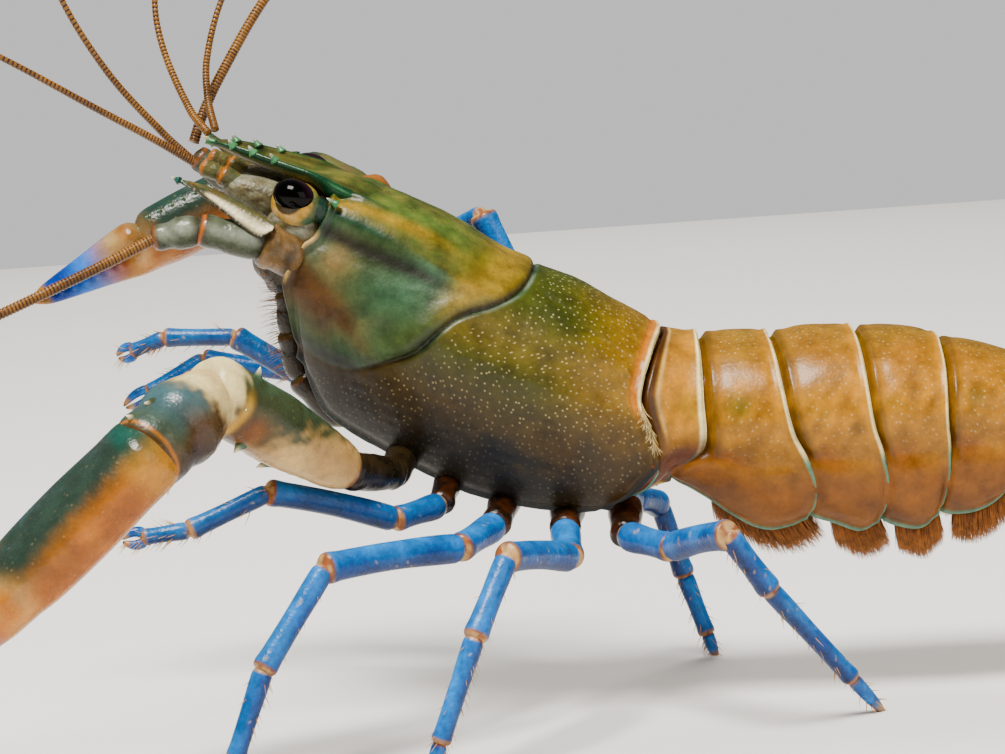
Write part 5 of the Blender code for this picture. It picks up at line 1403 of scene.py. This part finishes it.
TAIL_FAN = {
    "telson": ((45.4, 0.0, -2.6), 0.0, 13.2, 4.9),
    "uropod_inner": ((45.6, 4.9, -4.7), 20.0, 12.8, 3.1),
    "uropod_outer": ((45.2, 6.6, -5.9), 42.0, 13.8, 3.9),
}
FAN_OUTLINE = [(0, 0.62), (0.3, 0.96), (0.65, 1.0), (0.86, 0.82), (0.95, 0.55), (1, 0.12)]


def fan_place(key, sign, x, y, lift):
    """A place on a plate of the tail fan: x along and y across it, as shares, and lift in millimetres."""
    root, heading, length, half_width = TAIL_FAN[key]
    turn = math.radians(heading)
    s = root[0] + x * length * math.cos(turn) - y * half_width * math.sin(turn)
    side = root[1] + x * length * math.sin(turn) + y * half_width * math.cos(turn)
    h = root[2] - 0.5 * abs(math.sin(turn)) * x + lift
    return on_tail(s, sign * side, h)


def make_fan_plate(key, sign, name, node):
    """A plate of the tail fan with a midrib and a soft ribbed end."""
    surface = Surface()
    x, a = net(0, 1, 70, 72)
    y = np.cos(a) * along(FAN_OUTLINE, x)
    thick = (0.85 - 0.6 * x) * np.sin(a)
    rib = 0.25 * bell(y, 0, 0.12) * (np.sin(a) > 0) * (1 - smooth(x, 0.5, 0.9))
    rays = 0.05 * np.cos(y * 34) * smooth(x, 0.6, 0.8)
    points = fan_place(key, sign, x, y, thick + rib + rays * np.sign(np.sin(a)))
    tint = mix(C["ochre"], C["olive"], 0.4 + 0.3 * waves(points, 5, 85))
    tint = coats(tint, (
        ("orange", 0.6 * smooth(x, 0.6, 0.95)),
        ("rim_blue", 0.7 * bell(np.abs(np.cos(a)), 1, 0.06) * smooth(x, 0.05, 0.3)),
        ("cream", 0.5 * bell(y, 0, 0.1) * (1 - smooth(x, 0.6, 0.9))),
    ))
    surface.closed(points, tint, masks_of(0.5 * (1 - smooth(x, 0.5, 0.8)), 0.7))
    surface.make(name, PLATE, "tail_fan", (node,))


# Bristles

# Hairs under each side of a segment, round a plate of the tail fan, at a rear margin and on a mouthpart
FRINGE_HAIRS = 2200
FAN_HAIRS = 330
RIM_HAIRS, MOUTH_HAIRS = 90, 150


class Bristles(Surface):
    """Tapering bent hairs, each with its own small patch of the map at its root's place."""

    def hair(self, root, way, length, width, tint, tip_tint, bend, place, rows=5):
        """One hair from root along way; place is its root's place on the unwrapped skin."""
        way = unit(way)
        helper = np.array((0.3, 0.9, 0.2))
        across = unit(np.cross(way, helper))
        thick = np.cross(way, across)
        t = np.linspace(0, 1, rows)
        centres = root + way * (t * length)[:, None] + np.asarray(bend) * (t ** 2)[:, None]
        radius = width * (1 - t) ** 0.7 + 0.006
        sides = 4
        a = np.linspace(0, 2 * math.pi, sides, endpoint=False)
        ring = np.cos(a)[:, None] * across + np.sin(a)[:, None] * thick
        points = centres[:, None] + radius[:, None, None] * ring
        colours = mix(tint, tip_tint, (t[:, None] * np.ones(sides)) ** 1.3)
        u = place[0] + PATCH * np.linspace(0, 1, rows)[:, None] * np.ones((1, sides + 1))
        v = place[1] + PATCH * np.linspace(0, 1, sides + 1)[None] * np.ones((rows, 1))
        self.grid(points, colours, (0, 0.3, 0), wrap=True, caps=True, uv=np.stack([u, v], -1))


def make_swimmerets(index):
    """Hairy swimming legs and the hair fans that hang from under the side plates."""
    hairs = Bristles()
    source = np.random.default_rng(100 + index)
    for sign in (1, -1):
        for _ in range(FRINGE_HAIRS):
            u = 0.26 + 0.7 * source.random()
            s, side, h, _, _ = plate_place(index, np.array(u), np.array(0.985))
            depth = source.random()
            root = on_tail(s, sign * side * (0.97 - 0.3 * depth), h + 0.3 + 1.2 * depth)
            fan = (u - 0.45) * 1.6 + 0.5 * (source.random() - 0.5)
            down = on_tail(s + 0.5 + fan, sign * side * 0.9, h - 3) - on_tail(s, sign * side * 0.9, h)
            length = (2.1 + 1.6 * source.random()) * (1 - 1.0 * (u - 0.6) ** 2) + 1.2 * depth
            tone = mix(C["bristle"], C["hair"], source.random())
            bend = (on_tail(s + 1, side, h) - on_tail(s, side, h)) * (0.2 + 0.5 * source.random())
            place = (float(s) / 100, sign * 0.15)
            hairs.hair(root, down, length, 0.036, tone, C["bristle_pale"], bend, place, 4)
    hairs.make(f"fringe_{index}", HAIR, "fringe", bake_map=True)
    surface = Surface()
    for sign in (1, -1):
        s, _, low, _, _ = plate_place(index, np.array(0.35), np.array(1.0))
        root = on_tail(s, sign * 4.4, low * 0.6)
        tip = on_tail(s + 2.6, sign * 4.0, low * 0.6 - 6.4)
        article(surface, root, tip, 0.9, 1.1, plain_paint("orange", "plate_brown", "cream"), (0, 1, 0), 1.6)
    surface.make(f"swimmerets_{index}", SOFT, "abdomen")


def make_fan_fringe():
    """Soft hairs round the ends of the tail fan's plates."""
    hairs = Bristles()
    source = np.random.default_rng(7)
    for key in TAIL_FAN:
        for sign in ((1,) if key == "telson" else (1, -1)):
            for k in range(FAN_HAIRS):
                t = -1 + 2 * k / (FAN_HAIRS - 1)
                x = 0.995 - 0.3 * abs(t) ** 3
                y = t * 0.93
                edge = min(abs(y), float(along(FAN_OUTLINE, x)) * 0.96) * np.sign(y)
                root = fan_place(key, sign, x - 0.02, edge, 0.1 * (source.random() - 0.5))
                ahead = fan_place(key, sign, x + 0.2, edge * 1.35, -0.3) - root
                tone = mix(C["bristle"], C["bristle_pale"], source.random())
                hairs.hair(root, ahead, 1.5 + 0.8 * source.random(), 0.045, tone, C["bristle_pale"],
                           (0, 0, -0.3 * source.random()), (0.5 + 0.1 * t, 0.3 * sign))
    hairs.make("fan_fringe", HAIR, "fringe", bake_map=True)


def add_rim_hairs(hairs, source, sign):
    """A short tuft at the carapace's rear margin."""
    for _ in range(RIM_HAIRS):
        t = 0.35 + 0.12 * source.random()
        rear = float(along(SHELL_REAR, t))
        side, h = shell_section(np.array(rear), np.array(t))
        way = BACK * source.normal() * 0.7 - UP * (0.4 + 0.6 * source.random()) + LEFT * sign * 0.8
        hairs.hair(on_body(rear - 0.1, sign * side, h), way, 0.7 + 0.7 * source.random(), 0.03, C["sand"],
                   C["rim_cream"], BACK * 0.2, (0.5, 0.3 * sign + 0.1 * t))


def add_mouth_hairs(hairs, source, sign):
    """Bristles along the front of an outer mouthpart."""
    joints = joints_on_body(MAXILLIPED_JOINTS, sign)
    for _ in range(MOUTH_HAIRS):
        t = source.random() * 3
        k = min(int(t), 2)
        place = joints[k + 1] + (joints[k + 2] - joints[k + 1]) * (t - k)
        ahead = -BACK - UP * (0.9 - 0.4 * t) + LEFT * 0.6 * source.normal()
        length = 1.0 + 1.2 * source.random()
        hairs.hair(place + unit(ahead) * 0.9, ahead, length, 0.035, C["bristle_pale"], C["sand"],
                   -UP * 0.5, (0.7, 0.1 * t))


def make_leg_bristles():
    """Sparse stiff hairs along the outer articles of the legs."""
    hairs = Bristles()
    source = np.random.default_rng(9)
    for legs, sign in ((LEFT_LEGS, 1), (RIGHT_LEGS, -1)):
        for number, joints in legs.items():
            p = [np.array(q, float) for q in joints]
            shin_end = p[3] + (p[4] - p[3]) * 0.95
            for a, b, radius, count in ((p[2], p[3], 1.05, 14), (p[3], shin_end, 0.85, 46)):
                axis = unit(b - a)
                _, across, thick = frames_along(np.stack([a, b]), (0, 0, -1))
                for _ in range(count):
                    t = source.random()
                    turn = source.normal() * 0.8 + (math.pi if source.random() < 0.25 else 0)
                    out = across[0] * math.cos(turn) + thick[0] * math.sin(turn)
                    root = a + (b - a) * t + out * (radius * 0.9 * (1 - 0.35 * t))
                    length = 0.7 + 0.8 * source.random()
                    hairs.hair(root, out + axis * 0.9, length, 0.045, C["bristle_pale"], C["cream"],
                               axis * 0.2, (0.1 * number, 0.2 * sign + 0.1 * t))
    for sign in (1, -1):
        add_rim_hairs(hairs, source, sign)
        add_mouth_hairs(hairs, source, sign)
    hairs.make("limb_bristles", HAIR, "fringe", bake_map=True)


# Camera, floor and light

# Each lamp's place, target, power in watts and width in metres, and whether shell mirrors it
LAMPS = {
    "key": ((-0.12, -0.26, 0.66), (0, 0, 0.035), 12.5, 0.26, True),
    "fill": ((0.40, -0.42, 0.24), (0, 0, 0.035), 1.3, 0.4, True),
    "back": ((0.05, 0.40, 0.60), (0, 0, 0.035), 2.0, 0.3, False),
    "floor": ((0, 1.0, 0.8), (0, 1.0, 0.035), 12.0, 0.9, False),
}
LAMP_COLOUR = (1.0, 0.95, 0.87)
CAMERA_ELEVATION, CAMERA_ROLL, CAMERA_DISTANCE = math.radians(5), math.radians(4), 300.0
CAMERA_TARGET = np.array((50.25, 0.0, 33.7))
# Focal length in the photo's pixels, and the photo's width
FOCAL_PIXELS, PHOTO_WIDTH, SENSOR = 3000, 1005, 36.0
FLOOR_SIZE, FLOOR_COLOUR = 2.4, (0.84, 0.84, 0.83, 1)
# Strength of the pale surroundings as light and as seen by the camera
WORLD_LIGHT, WORLD_SEEN = 0.2, 0.9


def make_camera():
    """The photo's view, slightly from above and rolled."""
    cos_roll, sin_roll = math.cos(CAMERA_ROLL), math.sin(CAMERA_ROLL)
    toward = np.array((0, -math.cos(CAMERA_ELEVATION), math.sin(CAMERA_ELEVATION)))
    lift = np.array((0, math.sin(CAMERA_ELEVATION), math.cos(CAMERA_ELEVATION)))
    up = np.array((sin_roll, lift[1] * cos_roll, lift[2] * cos_roll))
    right = np.array((cos_roll, -lift[1] * sin_roll, -lift[2] * sin_roll))
    place = (CAMERA_TARGET + toward * CAMERA_DISTANCE - FOOTPRINT_CENTRE) * MM
    data = bpy.data.cameras.new("camera")
    data.sensor_width, data.lens = SENSOR, FOCAL_PIXELS / PHOTO_WIDTH * SENSOR
    data.clip_start, data.clip_end = 0.01, 20.0
    camera = bpy.data.objects.new("camera", data)
    bpy.context.scene.collection.objects.link(camera)
    rows = [[right[i], up[i], toward[i], place[i]] for i in range(3)]
    camera.matrix_world = Matrix(rows + [[0, 0, 0, 1]])
    bpy.context.scene.camera = camera


def make_stage():
    """A pale floor and soft studio light."""
    bpy.ops.mesh.primitive_plane_add(size=FLOOR_SIZE, location=(0, 0, 0))
    floor = bpy.context.object
    floor.name = "floor"
    material, *_ = shader_of("floor", Roughness=0.6, Base_Color=FLOOR_COLOUR)
    floor.data.materials.append(material)

    world = bpy.data.worlds.new("studio")
    world.use_nodes = True
    bpy.context.scene.world = world
    tree = world.node_tree
    surroundings = tree.nodes["Background"]
    surroundings.inputs["Color"].default_value = (0.8, 0.8, 0.8, 1)
    seen = tree.nodes.new("ShaderNodeLightPath")
    strength = tree.nodes.new("ShaderNodeMapRange")
    strength.inputs["To Min"].default_value = WORLD_LIGHT
    strength.inputs["To Max"].default_value = WORLD_SEEN
    tree.links.new(seen.outputs["Is Camera Ray"], strength.inputs["Value"])
    tree.links.new(strength.outputs["Result"], surroundings.inputs["Strength"])
    for name, (spot, target, energy, spread, mirrored) in LAMPS.items():
        light = bpy.data.lights.new(name, "AREA")
        light.energy, light.size = energy, spread
        light.color = LAMP_COLOUR
        lamp = bpy.data.objects.new(name, light)
        lamp.visible_glossy = mirrored
        lamp.location = spot
        lamp.rotation_euler = (Vector(target) - Vector(spot)).to_track_quat("-Z", "Y").to_euler()
        bpy.context.scene.collection.objects.link(lamp)


make_camera()
make_stage()
make_carapace()
make_face()
make_floor_of_body()
make_core()
for number in range(1, 7):
    make_segment(number)
for number in range(2, 6):
    make_swimmerets(number)
for part, way in (("left", 1), ("right", -1)):
    make_eye(part, way)
    make_antennule(part, way)
    make_antenna_root(part, way)
    make_scale(part, way)
    make_mouthpart(part, way)
    for plate in ("uropod_inner", "uropod_outer"):
        make_fan_plate(plate, way, f"{plate}_{part}_plate", f"{plate}_{part}")
    for number, joints in (LEFT_LEGS if way > 0 else RIGHT_LEGS).items():
        make_leg(part, number, joints, way)
make_fan_plate("telson", 1, "telson_plate", "telson")
make_claw("left", LEFT_CLAW, 1, (0, 1, 0.6))
make_claw("right", RIGHT_CLAW, -1, (0, -1.2, 1))
for part, feelers in (("left", LEFT_FEELERS), ("right", RIGHT_FEELERS)):
    for place, points in feelers.items():
        make_feeler(f"flagellum_{part}_{place}", f"feeler_{part}_{place}", points, FEELER_RADII, 0.3)
make_feeler("whip_left", "antenna_left", LEFT_WHIP, WHIP_RADII, 0.38)
make_feeler("whip_right", "antenna_right", RIGHT_WHIP, WHIP_RADII, 0.38)
make_fan_fringe()
make_leg_bristles()
